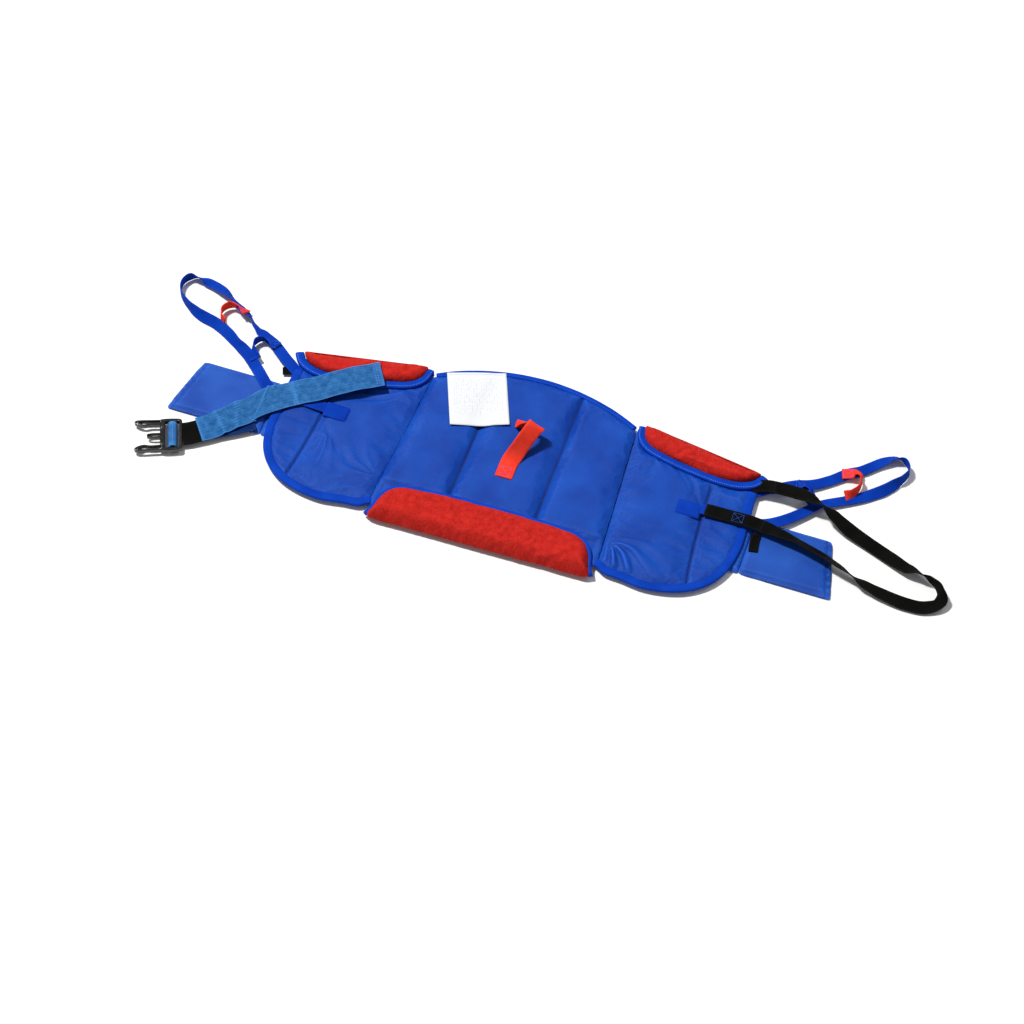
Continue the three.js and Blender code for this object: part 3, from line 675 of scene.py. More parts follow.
# ---- camera, floor and light -------------------------------------------------------------
def add_camera():
    """Eye level of the picture: 55 degrees above the floor, 18 degrees round to the right."""
    azimuth, elevation = math.radians(18.476), math.radians(55.10)
    distance, right_of_origin, above_origin = 6.667, 0.0005, -0.080
    back = Vector((math.sin(azimuth) * math.cos(elevation), -math.cos(azimuth) * math.cos(elevation),
                   math.sin(elevation)))
    right = Vector((math.cos(azimuth), math.sin(azimuth), 0))
    up = back.cross(right)
    data = bpy.data.cameras.new("camera")
    data.lens = 140.625
    data.sensor_width = 36
    camera = bpy.data.objects.new("camera", data)
    camera.matrix_world = Matrix((right, up, back)).transposed().to_4x4()
    camera.location = back * distance + right * right_of_origin + up * above_origin
    bpy.context.scene.collection.objects.link(camera)
    bpy.context.scene.camera = camera


def add_floor():
    n = Nodes("pale_floor")
    place = n.add("TexCoord").outputs["Object"]
    cloud = n.add("TexNoise", {"Vector": place, "Scale": 3, "Detail": 2}).outputs[0]
    colour = n.mix(n.ramp(cloud, 0.3, 0.7), (0.84, 0.84, 0.84), (0.86, 0.86, 0.86))
    pale = n.surface({"Base Color": colour, "Roughness": 0.9, "Specular IOR Level": 0.1})
    size, z = 12, cad_low.z - 0.0005
    floor = mesh_object("floor", [(-size, -size, z), (size, -size, z), (size, size, z), (-size, size, z)],
                        [(0, 1, 2, 3)], pale)


def add_light(name, direction, distance, size, power, colour):
    data = bpy.data.lights.new(name, "AREA")
    data.shape = "DISK"
    data.size = size
    data.energy = power
    data.color = colour
    light = bpy.data.objects.new(name, data)
    aim = Vector(direction).normalized()
    light.location = aim * distance
    light.rotation_euler = aim.to_track_quat("Z", "Y").to_euler()
    bpy.context.scene.collection.objects.link(light)


def add_lights():
    """A near sharp key from the left and behind, a broad fill, and an even pale sky."""
    add_light("key", (-0.42, 0.12, 0.90), 9.0, 1.1, 980, (1, 0.985, 0.96))
    add_light("fill", (0.5, 0.5, 0.7), 6, 3, 40, (0.95, 0.97, 1))
    world = bpy.data.worlds.new("studio")
    world.use_nodes = True
    world.node_tree.nodes["Background"].inputs["Color"].default_value = (0.97, 0.98, 1, 1)
    world.node_tree.nodes["Background"].inputs["Strength"].default_value = 0.30
    bpy.context.scene.world = world
    bpy.context.scene.view_settings.view_transform = "Standard"


# ---- back panel and wings ----------------------------------------------------------------
def arc_points(radius, half_x):
    """The arched edge from left to right at a radius about its centre, in millimetres."""
    reach = math.asin(half_x / radius)
    return [(radius * math.sin(a), ARC_CENTRE + radius * math.cos(a))
            for a in np.linspace(-reach, reach, 60)]


def panel_outline():
    """Arched above, straight down the fold lines, and cut away where the roll covers it."""
    arc = arc_points(ARC_R - 7, 178.6)
    right = [(fold_x(y) - 0.4, y) for y in (124, 60, 0, -60, -110, -158)] + [(160, -158), (140, -120)]
    left = [(-x, y) for x, y in right[::-1]]
    return np.array(arc + right + left) * MM


def inset_line(points, distance):
    """An open line moved to its right-hand side."""
    p = np.array(points, float)
    along = heading(p)
    return p + np.column_stack([along[:, 1], -along[:, 0]]) * distance


def wing_edge():
    """The wing's free edge, carried on to the roll's end."""
    return WING_EDGE[:-1] + [(212, -167), (200, -160), (192, -156)]


def wing_outline(side):
    """From the fold line round the pad's lower seam and the wing's own edge, in metres."""
    pad = [p for p in spline(PAD_SEAM, 6) if p[0] < 412]
    outer = inset_line(spline(wing_edge(), 6), WING_TAPE - 3)
    outer = [p for p in outer if p[0] > fold_x(p[1]) + 4]
    fold = [(fold_x(y) + 0.4, y) for y in (-150, -120, -60, 0, 60, 124, 131)]
    return plan(fold + [(x, y + 3) for x, y in pad if x < 398] + [tuple(p) for p in outer], side)


def wrinkle_fan(flat, centre, toward, spread, reach, count, height, seed):
    """Low curved ridges that fan out from a point where cloth is gathered into a seam."""
    rel = flat - np.array(centre) * MM
    far = np.linalg.norm(rel, axis=1)
    angle = np.arctan2(rel[:, 1], rel[:, 0]) - math.radians(toward)
    angle = (angle + math.pi) % (2 * math.pi) - math.pi
    bend = far / (reach * MM) * 0.5
    ridges = np.sin((angle + bend) * count / math.radians(spread) * math.pi + seed
                    + waver(flat, 22, seed) * 1.6)
    fade = np.exp(-((angle / math.radians(spread)) ** 2) * 2) * np.exp(-((far / (reach * MM)) ** 2) * 1.6)
    fade *= np.clip(far / (25 * MM), 0, 1)
    return height * MM * fade * (np.maximum(ridges, -0.4) + 0.2)


def quilt(name, outline, seams, material, edge_z, low_z, rise, width, step, pressure, ease, cap,
          ceiling, wrinkles):
    """A padded cloth body, held down at its rim and along its seams."""
    flat, faces, on_rim = net(outline, seams, step)
    gap = away(outline, flat, closed=True)
    sewn = on_rim.copy()
    for seam in seams:
        reach = away(seam, flat)
        gap = np.minimum(gap, reach)
        sewn |= reach < 1e-5
    height = edge_z + rise * crown(gap, width, 2.4) + wrinkles(flat) * np.clip(gap / 0.012, 0, 1)
    height[sewn & ~on_rim] -= 0.0016
    points = swell(np.column_stack([flat, height]), faces, sewn, pressure, ease, cap)
    over = np.maximum(points[:, 2] - (ceiling(flat) - 0.001), 0)
    points[:, 2] -= over - 0.001 * (1 - np.exp(-over / 0.001))
    body = smoothed(closed_body(name, flat, faces, points, np.full(len(flat), low_z), material))
    mark_seam_shade(body, seams)
    return body


def seam_thread(name, seam, surface, body, gap):
    """The stitching in a quilted seam: a real thread, whose dark colour also stands in as painted shade for
    the seam's groove.
    """
    stitches(name, [laid(seam, surface, 0.012)], DARK_THREAD, "quilted_nylon", body, length=3.4, gap=gap,
             radius=0.5)


def mark_seam_shade(obj, seams):
    """Stores how near each point is to a seam, which the nylon material darkens as painted shade in the seam
    grooves.
    """
    co = points_of(obj)
    near = np.full(len(co), 1.0)
    for seam in seams:
        near = np.minimum(near, away(seam, co))
    layer = obj.data.attributes.new("sewn", "FLOAT", "POINT")
    layer.data.foreach_set("value", np.exp(-(near / 0.0022) ** 2).astype(np.float32))


def soften(obj, scale, height, seed, above):
    """Shallow unevenness over the upper surface."""
    co = points_of(obj)
    lift = noise_at(co, scale, seed) * height * np.clip((co[:, 2] - above) / 0.004, 0, 1)
    co[:, 2] += lift
    set_points(obj, co)


def build_panel():
    seams = [np.array([(s * (SEAM_X + 2.5), PANEL_LOW - 10), (s * (SEAM_X + 0.5), 0), (s * SEAM_X, 164)]) * MM
             for s in (-1, 1)]

    def wrinkles(flat):
        low = wrinkle_fan(flat, (-75, -110), 55, 50, 70, 4, 1.3, 0.3)
        high = wrinkle_fan(flat, (75, 40), 10, 60, 70, 4, 1.3, 1.9)
        side = wrinkle_fan(flat, (-185, 60), -20, 60, 60, 4, 1.2, 4.1)
        under_roll = np.clip((-104 * MM - flat[:, 1]) / (14 * MM), 0, 1)
        return low + high + side - 6 * MM * under_roll

    panel = quilt("back_panel_quilt", panel_outline(), seams, NYLON, edge_z=11.5 * MM, low_z=LINING_Z,
                  rise=8 * MM, width=20 * MM, step=4.5 * MM, pressure=1.6, ease=0.007, cap=0.003,
                  ceiling=lambda flat: 20.3 * MM, wrinkles=wrinkles)
    soften(panel, 28, 0.0005, 3, 0.012)
    for end, seam in zip(("left", "right"), seams):
        seam_thread(end + "_channel_stitches", resample(seam, 0.004)[3:-2], panel, "back_panel", 0.35)
    declare(panel, "quilted_nylon", "back_panel", "back_lining", "back_cover", "foam_insert_left",
            "foam_insert_middle", "foam_insert_right")
    return panel


def fold_blend(obj, name, side):
    """Bakes a piece's placement into its mesh; it is not bent over the fold between the back panel and a
    wing.
    """
    across = np.array([FOLD_HIGH[1] - FOLD_LOW[1], FOLD_LOW[0] - FOLD_HIGH[0]], float)
    across /= np.linalg.norm(across)
    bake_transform(obj)


def build_wing(name, side):
    outline = wing_outline(side)
    seam = resample(plan(WING_SEAM, side), 0.004)
    seed = 2.0 + side

    def wrinkles(flat):
        gather = wrinkle_fan(flat, (side * 200, -105), -42 if side > 0 else 165, 60, 115, 5,
                             6.5 if side > 0 else 1.6, seed)
        pulled = wrinkle_fan(flat, (side * 200, 95), -28 if side > 0 else 208, 40, 120, 5,
                             1.8 if side > 0 else 2.4, seed + 4)
        pleats = wrinkle_fan(flat, (side * 318, -40), 200 if side > 0 else -75, 45, 90, 5,
                             0.6 if side > 0 else 2.0, seed + 7)
        return gather + pulled + pleats

    def ceiling(flat):
        clear = np.linalg.norm(flat - np.array([side * 230, -115]) * MM, axis=1) / (80 * MM)
        return (15.2 + 4.5 * np.exp(-clear ** 2)) * MM

    wing = quilt(name + "_wing_quilt", outline, [seam], NYLON, edge_z=9.6 * MM, low_z=LINING_Z,
                 rise=3.6 * MM, width=22 * MM, step=4.0 * MM, pressure=1.2, ease=0.012, cap=0.003,
                 ceiling=ceiling, wrinkles=wrinkles)
    seam_thread(name + "_wing_seam_stitches", seam[2:-2], wing, name + "_wing", 1.2)
    soften(wing, 24, 0.0006, seed, 0.010)
    declare(wing, "quilted_nylon", None, name + "_wing_lining", name + "_wing_cover",
            name + "_wing_padding")
    return wing


def tape_profile(width, thick):
    """The section of a tape folded over an edge, in millimetres from that edge."""
    return [(-width, -0.4), (-width * 0.97, 0.7), (-width * 0.75, 1.3), (-width * 0.4, 1.7), (-1.6, 1.3),
            (-0.2, 0.3), (0.5, -1.2), (0, 0.8 - thick), (-1.4, -thick), (-width, -thick)]


def build_edgings():
    """Binding tapes round the arched edge and the wings' free edges."""
    line = resample(plan(arc_points(ARC_R - 0.8, 177.4)), 0.005)
    tape = edge_tape("back_panel_binding", line, -1, tape_profile(ARC_TAPE, 6), 0.0138,
                     waver(line, 30) * 0.0005)
    declare(tape, "binding", "back_panel", "arch_binding")
    inner = resample(plan(arc_points(ARC_R - ARC_TAPE + 1, 172)), 0.004)
    stitches("back_panel_binding_stitches", [laid(inner, tape, 0.0148)], BLUE_THREAD, "binding",
             "back_panel")
    for name, side in SIDES:
        line = resample(plan(spline(wing_edge(), 8), side), 0.005)
        tape = edge_tape(name + "_wing_edging", line, -side, tape_profile(WING_TAPE, 4.6), 0.0112,
                         waver(line, 26, side) * 0.0007)
        inner = inset_line(spline(wing_edge(), 6), WING_TAPE - 1.6)
        stitches(name + "_wing_edging_stitches", [laid(plan(inner[4:-6], side), tape, 0.012)],
                 DARK_THREAD, "binding", name + "_wing")
        declare(tape, "binding", None, name + "_wing_binding")
        fold_blend(tape, name, side)


def build_fleece(name, outline, rim_z, top_z, low_z, width, seed, wrinkles):
    """A brushed fleece pad: rounded over its rim, a little uneven, with a raised nap."""
    flat, faces, on_rim = net(outline, [], 3.6 * MM)
    gap = away(outline, flat, closed=True)
    rim = rim_z(flat)
    height = rim + (top_z - rim) * crown(gap, width, 2.6)
    if wrinkles is not None:
        height = height + wrinkles(flat) * np.clip(gap / 0.010, 0, 1)
    points = swell(np.column_stack([flat, height]), faces, on_rim, 1.0, 0.02, 0.0025)
    pad = smoothed(closed_body(name, flat, faces, points, np.full(len(flat), low_z), FLEECE))
    co = points_of(pad)
    nap = (noise_at(co, 330, seed) * 0.00042 + noise_at(co, 110, seed + 3) * 0.0004
           + noise_at(co, 35, seed + 5) * 0.0007)
    normals = np.zeros(len(co) * 3)
    pad.data.vertices.foreach_get("normal", normals)
    set_points(pad, co + normals.reshape(-1, 3) * nap[:, None])
    return pad


def build_roll():
    """The fleece roll along the lower edge, nearly upright in front and low at the back."""
    low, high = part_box("roll_cover")
    right = [(x, y + 1.5) for x, y in spline(ROLL_EDGE, 6)]
    left = [(-x, y) for x, y in right[::-1]][1:]
    corner = [(ROLL_HALF - a, ROLL_LOW + b) for a, b in ((9, 1), (3, 3), (1, 9))]
    outline = plan(right + left + mirrored(corner[::-1], -1) + corner)

    def rim(flat):
        back = np.clip((flat[:, 1] - (ROLL_LOW + 8) * MM) / (40 * MM), 0, 1)
        return 12 * MM + 7 * MM * back

    def wrinkles(flat):
        return 0.8 * wrinkle_fan(flat, (170, -125), 200, 60, 110, 3, 1.4, 0.6)

    roll = build_fleece("roll_fleece", outline, rim, high.z - 0.0005, low.z + 0.001, 19 * MM, 5, wrinkles)
    declare(roll, "fleece", "back_panel", "roll_cover", "roll_core")
    edge = [(ROLL_HALF + 1, ROLL_LOW + 4)] + ROLL_EDGE
    full = [(x, y + 2.5) for x, y in edge] + [(-x, y + 2.5) for x, y in edge[::-1][1:]]
    line = resample(spline(full, 8), 5) * MM
    drop_in = np.clip((line[:, 1] - (ROLL_LOW + 6) * MM) / (45 * MM), 0, 1)
    profile = [(-4.5, -3), (-4.2, 0.6), (-2, 1.6), (1.2, 1.3), (3.4, 0.2), (3.8, -2), (2.5, -5), (-4.5, -5)]
    tape = edge_tape("roll_binding", line, -1, profile, 0.012, drop_in * 0.0082)
    declare(tape, "binding", "back_panel")


def build_pad(name, side):
    """The fleece pad along a wing's far edge, and the tape sewn over its near edge."""
    low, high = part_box(name + "_pad_cover")
    near, far = spline(FLEECE_SEAM, 6), spline(PAD_FAR, 6)
    outline = plan([(x, y - 2) for x, y in near[:-1]] + list(map(tuple, far[:-1])), side)

    def rim(flat):
        back = np.clip(away(plan(near, side), flat) / (16 * MM), 0, 1)
        return 17 * MM - 6 * MM * back

    def wrinkles(flat):
        fold = away(plan([(270, 92), (330, 83), (372, 84)], side), flat)
        return (1.3 * np.exp(-(fold / 0.004) ** 2) - 0.8 * np.exp(-((fold - 0.007) / 0.004) ** 2)) * MM

    pad = build_fleece(name + "_pad_fleece", outline, rim, high.z - 0.0005, low.z, 15 * MM, 7 + side,
                       wrinkles if side > 0 else None)
    declare(pad, "fleece", name + "_wing", name + "_pad_cover", name + "_pad_core")
    seam, inner = resample(spline(PAD_SEAM, 6), 4), resample(near, 4)
    share = np.linspace(0, 1, len(seam))
    partner = np.stack([np.interp(share, np.linspace(0, 1, len(inner)), inner[:, k]) for k in range(2)], 1)
    line = (seam * 0.55 + partner * 0.45) * (side, 1) * MM
    profile = [(-8, -2), (-7.6, 2.2), (-4, 2.6), (0.5, 1.8), (4.5, 0.4), (7, -1), (7.4, -3), (5, -6),
               (-8, -6)]
    tape = edge_tape(name + "_pad_edging", line, -side, profile, 0.0152, waver(line, 30, side) * 0.0006)
    declare(tape, "binding", name + "_wing", name + "_pad_binding")
    along = heading(line)
    off = np.column_stack([along[:, 1], -along[:, 0]]) * -side
    stitches(name + "_pad_stitches", [laid(line - off * 0.0052, tape, 0.017)], PALE_THREAD, "binding",
             name + "_wing")


# ---- belt --------------------------------------------------------------------------------
def belt_y(x, edge):
    """The slanted belt's edge (+1 far, -1 near) at x, in millimetres."""
    return BELT_Y + BELT_SLOPE * x + edge * BELT_HALF


def belt_body(name, outline, seams=()):
    """A flat padded length of the belt, held down at its rim and along its seams."""
    outline, seams = plan(outline), [plan(seam) for seam in seams]
    flat, faces = net(outline, seams, 5 * MM)[:2]
    gap = away(outline, flat, closed=True)
    for seam in seams:
        gap = np.minimum(gap, away(seam, flat) + 0.0004)
    height = 3.2 * MM + (7 * MM - 3.2 * MM) * crown(gap, 5 * MM, 3)
    height = height + noise_at(np.column_stack([flat, height]), 20, 4) * 0.0008 * np.clip(gap / 0.01, 0, 1)
    body = smoothed(closed_body(name, flat, faces, height, np.full(len(flat), 0.3 * MM), LINING))
    return body


def build_belt():
    """The wide belt behind the panel: a middle, a length under each wing, and two end flaps."""
    def fold(side, edge, off):
        y = belt_y(side * FOLD_HIGH[0], edge)
        return side * (fold_x(y) + off), belt_y(side * fold_x(y), edge)

    corners = [fold(-1, -1, 0), fold(1, -1, 0), fold(1, 1, 0), fold(-1, 1, 0)]
    declare(belt_body("belt_middle", corners), "quilted_nylon", "back_panel", "belt_centre")
    for name, side in SIDES:
        inner = [(side * EDGE_X, belt_y(side * EDGE_X, edge)) for edge in (-1, 1)]
        part = belt_body(name + "_belt_under_wing", [fold(side, -1, 0), *inner, fold(side, 1, 0)])
        declare(part, "quilted_nylon", None, name + "_belt_section")
        fold_blend(part, name, side)

        def corner(edge, inset):
            x = BELT_SHIFT + side * (BELT_END[0 if edge > 0 else 1] - inset)
            return x, belt_y(x, edge)

        hem = [corner(-1, 8), corner(1, 8)]
        lower = [(side * 425, belt_y(side * 425, -1) + 5), (corner(-1, 8)[0], corner(-1, 8)[1] + 5)]
        flap = belt_body(name + "_belt_flap", [inner[0], corner(-1, 0), corner(1, 0), inner[1]],
                         [hem, lower])
        declare(flap, "quilted_nylon", None, name + "_belt_end", name + "_belt_hem")
        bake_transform(flap)
        row = [(x * MM, y * MM, 0.0048) for x, y in (corner(-1, 9), corner(1, 9))]
        stitches(name + "_flap_stitches", [row], DARK_THREAD, "binding", name + "_flap")


# ---- webbing straps ----------------------------------------------------------------------
def web_line(route, step=4, wobble=0.45, seed=0.0):
    """A route's even points with their width and face directions, wavering a little."""
    line = resample(spline(route), step)
    path, tilt = line[:, :3] * MM, np.radians(line[:, 3])
    across, normal = frames_along(path, tilt)[1:]
    path = path + normal * (noise_at(path, 40, seed) * wobble * MM)[:, None]
    return path, across, normal, noise_at(path, 30, seed + 9) * wobble * MM


def web_piece(name, line, width, material, slot, rests_on, body=None, nodes=(), part=slice(None),
              thick=WEB_T, slant=0.0, ribs=0):
    """A length of flat webbing, declared; its length along the path is worked out but not kept."""
    path, across, normal, cup = (x[part] for x in line)
    web = sweep(name, path, across, normal, ribbon_section(width * MM, thick * MM, ribs), material,
                cup=cup, slant=slant)
    declare(web, slot, body, *nodes)
    length_of(path)
    return web


def box_stitch(name, centre, along, half_long, half_wide, surface, material, body, slot, otherwise,
               cross=True):
    """A sewn rectangle with crossed diagonals on the top of a strap."""
    direction = np.array(along, float) / np.linalg.norm(along)
    side = np.array([-direction[1], direction[0]])
    corners = [np.array(centre) + direction * a * half_long + side * b * half_wide
               for a, b in ((-1, -1), (1, -1), (1, 1), (-1, 1))]
    lines = [(corners[i], corners[(i + 1) % 4]) for i in range(4)]
    if cross:
        lines += [(corners[0], corners[2]), (corners[1], corners[3])]
    rows = [laid(resample(np.array(line), 2) * MM, surface, otherwise) for line in lines]
    stitches(name, rows, material, slot, body, length=2.2, gap=1.0, radius=0.34)


def strap_blend(obj, side):
    """Bakes a strap's placement into its mesh; it is not bent at the wing's edge."""
    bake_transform(obj)


def build_lifting_straps():
    """Each side's long blue loop with its short blue rung and its red rung."""
    left_route = ([(-398, 58, 9.4, 0), (-409, 65, 9.2, 0)] + LEFT_LOOP
                  + [(-412, 2, 17.4, 0), (-400, 2, 17.5, 0), (-380, 2, 16.9, 0), (-322, 0, 16.2, 0)])
    right_route = ([(398, 64, 9.4, 0), (409, 71, 9.2, 0)] + RIGHT_LOOP
                   + [(410, 2, 16.6, 0), (398, 2, 16.4, 0), (324, 2, 16.2, 0)])
    for name, side, route, rung, red in (("left", -1, left_route, LEFT_RUNG, LEFT_RED),
                                         ("right", 1, right_route, RIGHT_RUNG, RIGHT_RED)):
        body = name + "_lifting_strap"
        loop = web_piece(name + "_loop_web", web_line(route, wobble=0.9, seed=side * 3), WEB, BLUE_WEB,
                         "blue_webbing", name + "_wing_quilt", None,
                         (name + "_lifting_loop", name + "_loop_anchor"))
        short = web_piece(name + "_short_rung_web", web_line(rung, 3, seed=2), WEB, BLUE_WEB,
                          "blue_webbing", name + "_loop_web", body, (name + "_short_rung",))
        bright = web_piece(name + "_red_rung_web", web_line(red, 3, seed=4), WEB, RED_WEB, "red_webbing",
                           name + "_loop_web", body, (name + "_red_rung",))
        start, half = ((538.5, 152), 7.5) if side > 0 else (np.array(red[:2])[:, :2].mean(axis=0), 6.5)
        box_stitch(name + "_red_rung_stitches", start, np.array(red[1][:2]) - red[0][:2], half, 7, bright,
                   LILAC_THREAD, body, "red_webbing", 0.012)
        sewn = np.array(rung[0][:2]) * 0.7 + np.array(rung[1][:2]) * 0.3
        box_stitch(name + "_short_rung_stitches", sewn, np.array(rung[1][:2]) - rung[0][:2], 7, 7, short,
                   BLUE_THREAD, body, "blue_webbing", 0.014)
        strap_blend(loop, side)


def build_black_strap():
    """The long black loop over the right lifting strap, split where it passes two joints."""
    route = ([(396, 74, 12, 0), (408, 77, 16, 0)] + BLACK_LOOP
             + [(408, 1, 18.7, -180), (396, 1, 18.8, -180), (336, 1, 18.6, -180)])
    line = web_line(route, seed=11)
    beyond = np.nonzero(line[0][:, 0] > 0.430)[0]
    first, last = beyond[0], beyond[-1]
    root = web_piece("black_root_web", line, BLACK, BLACK_WEB, "black_webbing", "right_wing_quilt",
                     part=slice(0, first + 1))
    strap_blend(root, 1)
    anchor = web_piece("black_anchor_web", line, BLACK, BLACK_WEB, "black_webbing", "right_wing_quilt",
                       nodes=("black_loop_anchor",), part=slice(last, None))
    box_stitch("black_anchor_stitches", (392, 1), (1, 0), 9, 8, anchor, BLUE_THREAD, "right_wing",
               "black_webbing", 0.02)
    strap_blend(anchor, 1)
    loop = web_piece("black_loop_web", line, BLACK, BLACK_WEB, "black_webbing", "right_loop_web",
                     nodes=("black_loop",), part=slice(first, last + 1))
    strap_blend(loop, 1)
    for name, route, body in (("black_tab", BLACK_TAB, "right_wing"),
                              ("left_black_tab", LEFT_TAB, "left_wing")):
        web_piece(name + "_web", web_line(route, 2), TAB, BLACK_WEB, "black_webbing", body + "_quilt",
                  body, (name,), thick=3.2)


def crease(obj, start, end, height, width):
    """A low sharp fold across a strap, between two points in plan."""
    co = points_of(obj)
    gap = away(np.array([start, end]) * MM, co)
    co[:, 2] += height * MM * np.exp(-(gap / (width * MM)) ** 2)
    set_points(obj, co)


def build_waist_strap():
    """The steel-blue strap: a free tail, a length over the wing, and the lead to the buckle."""
    line = web_line(WAIST_ROUTE, 4, wobble=1.6, seed=21)
    path = line[0]
    tail_end = int(np.nonzero(path[:, :2] @ np.array(TAIL_RUN) < -0.317)[0][0])
    fold_at = int(np.nonzero(path[:, 0] < -0.434)[0][0])
    lead_from = fold_at - 3
    tail = web_piece("waist_tail_web", line, WAIST, STEEL_WEB, "steel_blue_webbing", "left_wing_quilt",
                     nodes=("waist_tail",), part=slice(0, tail_end + 1), thick=2.2, ribs=9)
    across = line[1][3]
    rows = [laid(resample([path[at] + across * s * 0.0225 for s in (-1, 1)], 0.003)[:, :2], tail,
                 path[3][2]) for at in (2, 3)]
    stitches("waist_tail_stitches", rows, PALE_THREAD, "steel_blue_webbing", "waist_strap_tail")
    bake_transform(tail)
    count = fold_at + 1 - tail_end
    slant = np.clip((np.arange(count) - (count - 9)) / 8, 0, 1) * 1.1
    raised = (path.copy(), *line[1:])
    over = np.clip((np.arange(len(path)) - (fold_at - 8)) / 8, 0, 1)
    raised[0][:, 2] += over * 0.0022
    crossing = web_piece("waist_crossing_web", raised, WAIST, STEEL_WEB, "steel_blue_webbing",
                         "left_wing_quilt", None, ("waist_crossing",), slice(tail_end, fold_at + 1), 2.4,
                         slant, 9)
    strap_blend(crossing, -1)
    lead_slant = np.clip((9 - np.arange(len(path) - lead_from)) / 8, 0, 1) * 1.1
    lead = web_piece("waist_lead_web", line, WAIST, STEEL_WEB, "steel_blue_webbing", "left_belt_flap", None,
                     ("waist_lead",), slice(lead_from, None), 2.2, lead_slant, 9)
    crease(lead, (-468, -104), (-503, -66), 3.0, 5)
    crease(lead, (-452, -92), (-478, -36), 2.4, 7)
    crease(lead, (-438, -78), (-462, -20), -1.6, 7)
    strap_blend(lead, -1)
    # The underlay is steel-blue webbing; its darker colour is painted shade from the strap above.
    under = web_piece("waist_underlay_web", web_line(UNDERLAY, 4, seed=23), 40, SHADED_UNDER_WEB,
                      "steel_blue_webbing", "left_belt_flap", nodes=("waist_underlay",))
    strap_blend(under, -1)
    web_piece("buckle_web", web_line(BUCKLE_WEB, 3, seed=25), 46, BLACK_WEB, "black_webbing",
              "left_belt_flap", "waist_strap", ("buckle_webbing",), thick=2.2)


# ---- buckle ------------------------------------------------------------------------------
def to_buckle(points):
    """Buckle coordinates in millimetres (+X to the prongs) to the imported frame."""
    turn = math.radians(BUCKLE_TURN)
    p = np.array(points, float)
    x = p[:, 0] * math.cos(turn) - p[:, 1] * math.sin(turn) + BUCKLE_AT[0]
    y = p[:, 0] * math.sin(turn) + p[:, 1] * math.cos(turn) + BUCKLE_AT[1]
    return np.column_stack([x, y, p[:, 2] + BUCKLE_AT[2]]) * MM


def bar(route, wide, tall):
    """A moulded bar with rounded edges along a route in buckle coordinates."""
    path = to_buckle(resample(spline(route, 6), 1.5))
    across, normal = frames_along(path, np.zeros(len(path)))[1:]
    a, b, r = wide / 2, tall / 2, min(wide, tall) * 0.28
    section = []
    for sx, sy, start in ((1, 1, 0), (-1, 1, 90), (-1, -1, 180), (1, -1, 270)):
        for k in range(4):
            angle = math.radians(start + k * 30)
            section.append((sx * (a - r) + r * math.cos(angle), sy * (b - r) + r * math.sin(angle)))
    scale = np.ones(len(path))
    scale[0] = scale[-1] = 0.8
    return sweep("bar", path, across, normal, np.array(section) * MM, PLASTIC, scale)


def joined(name, parts, body, node):
    """Several bars as one piece of the buckle."""
    bpy.ops.object.select_all(action="DESELECT")
    for part in parts:
        part.select_set(True)
    bpy.context.view_layer.objects.active = parts[0]
    bpy.ops.object.join()
    parts[0].name = name
    parts[0].data.name = name
    declare(parts[0], "buckle_plastic", body, node)


def build_buckle():
    """The buckle's pronged half: two webbing slots, three crossbars, a guide and two prongs."""
    half = BUCKLE_W / 2
    rail = half - 3
    parts = [bar([(-5, s * (rail - 1), 0), (0, s * rail, 0), (26, s * rail, 0), (30, s * (rail - 2), 0)], 6,
                 BUCKLE_T - 1) for s in (-1, 1)]
    parts += [bar([(x, -rail, z), (x, 0, z + 0.4), (x, rail, z)], wide, tall)
              for x, z, wide, tall in ((-4.8, 0, 4.8, 9), (9, 0, 7, 8), (25.5, 0, 9, 10))]
    parts += [bar([(22, s * 17, 4.6), (29, s * 17, 4.6)], 9, 1.6) for s in (-1, 1)]
    joined("buckle_body", parts, "buckle", "buckle_frame")
    parts = [bar([(28, s * 3.2, 0), (44, s * 3.2, 0), (50, s * 2, 0)], 2.4, 6.4) for s in (-1, 1)]
    parts += [bar([(50, -3, 0), (51, 0, 0), (50, 3, 0)], 2.2, 6.4)]
    joined("buckle_centre_guide", parts, "buckle", "buckle_guide")
    for side, body_name in ((-1, "prong_far"), (1, "prong_near")):
        outer = [(29, 29.4), (46, 29.6), (60, 30), (69, 29.4), (71.4, 27.4), (68, 24.4), (61, 21.6),
                 (55, 21), (47, 22.6), (29, 22)]
        parts = [bar([(x, side * y, 0) for x, y in outer], 3.0, 8.4),
                 bar([(60, side * 22.6, 0), (66, side * 26, 0), (68, side * 29, 0)], 3.4, 7.4)]
        joined("buckle_" + body_name + "_arm", parts, body_name, "buckle_" + body_name)
    wrap_route = [(2.0, 0, -4.5), (2.4, 0, 1), (4.6, 0, 5.4), (9, 0, 6.8), (13.4, 0, 5.4), (15.6, 0, 1),
                  (16.0, 0, -4.5)]
    path = to_buckle(resample(spline(wrap_route, 6), 1.5))
    side = to_buckle([(0, 1, 0)])[0] - to_buckle([(0, 0, 0)])[0]
    across = np.tile(side / np.linalg.norm(side), (len(path), 1))
    wrap = sweep("buckle_wrap_web", path, across, np.cross(heading(path), across),
                 ribbon_section((BUCKLE_W - 14) * MM, 1.8 * MM), STEEL_WEB)
    declare(wrap, "blue_webbing", "buckle", "buckle_wrap")
    row = [tuple(to_buckle([(9, y, 7.9)])[0]) for y in np.linspace(-23, 23, 20)]
    stitches("buckle_wrap_stitches", [row], PALE_THREAD, "blue_webbing", "buckle", length=2.6, gap=0.9,
             radius=0.5)


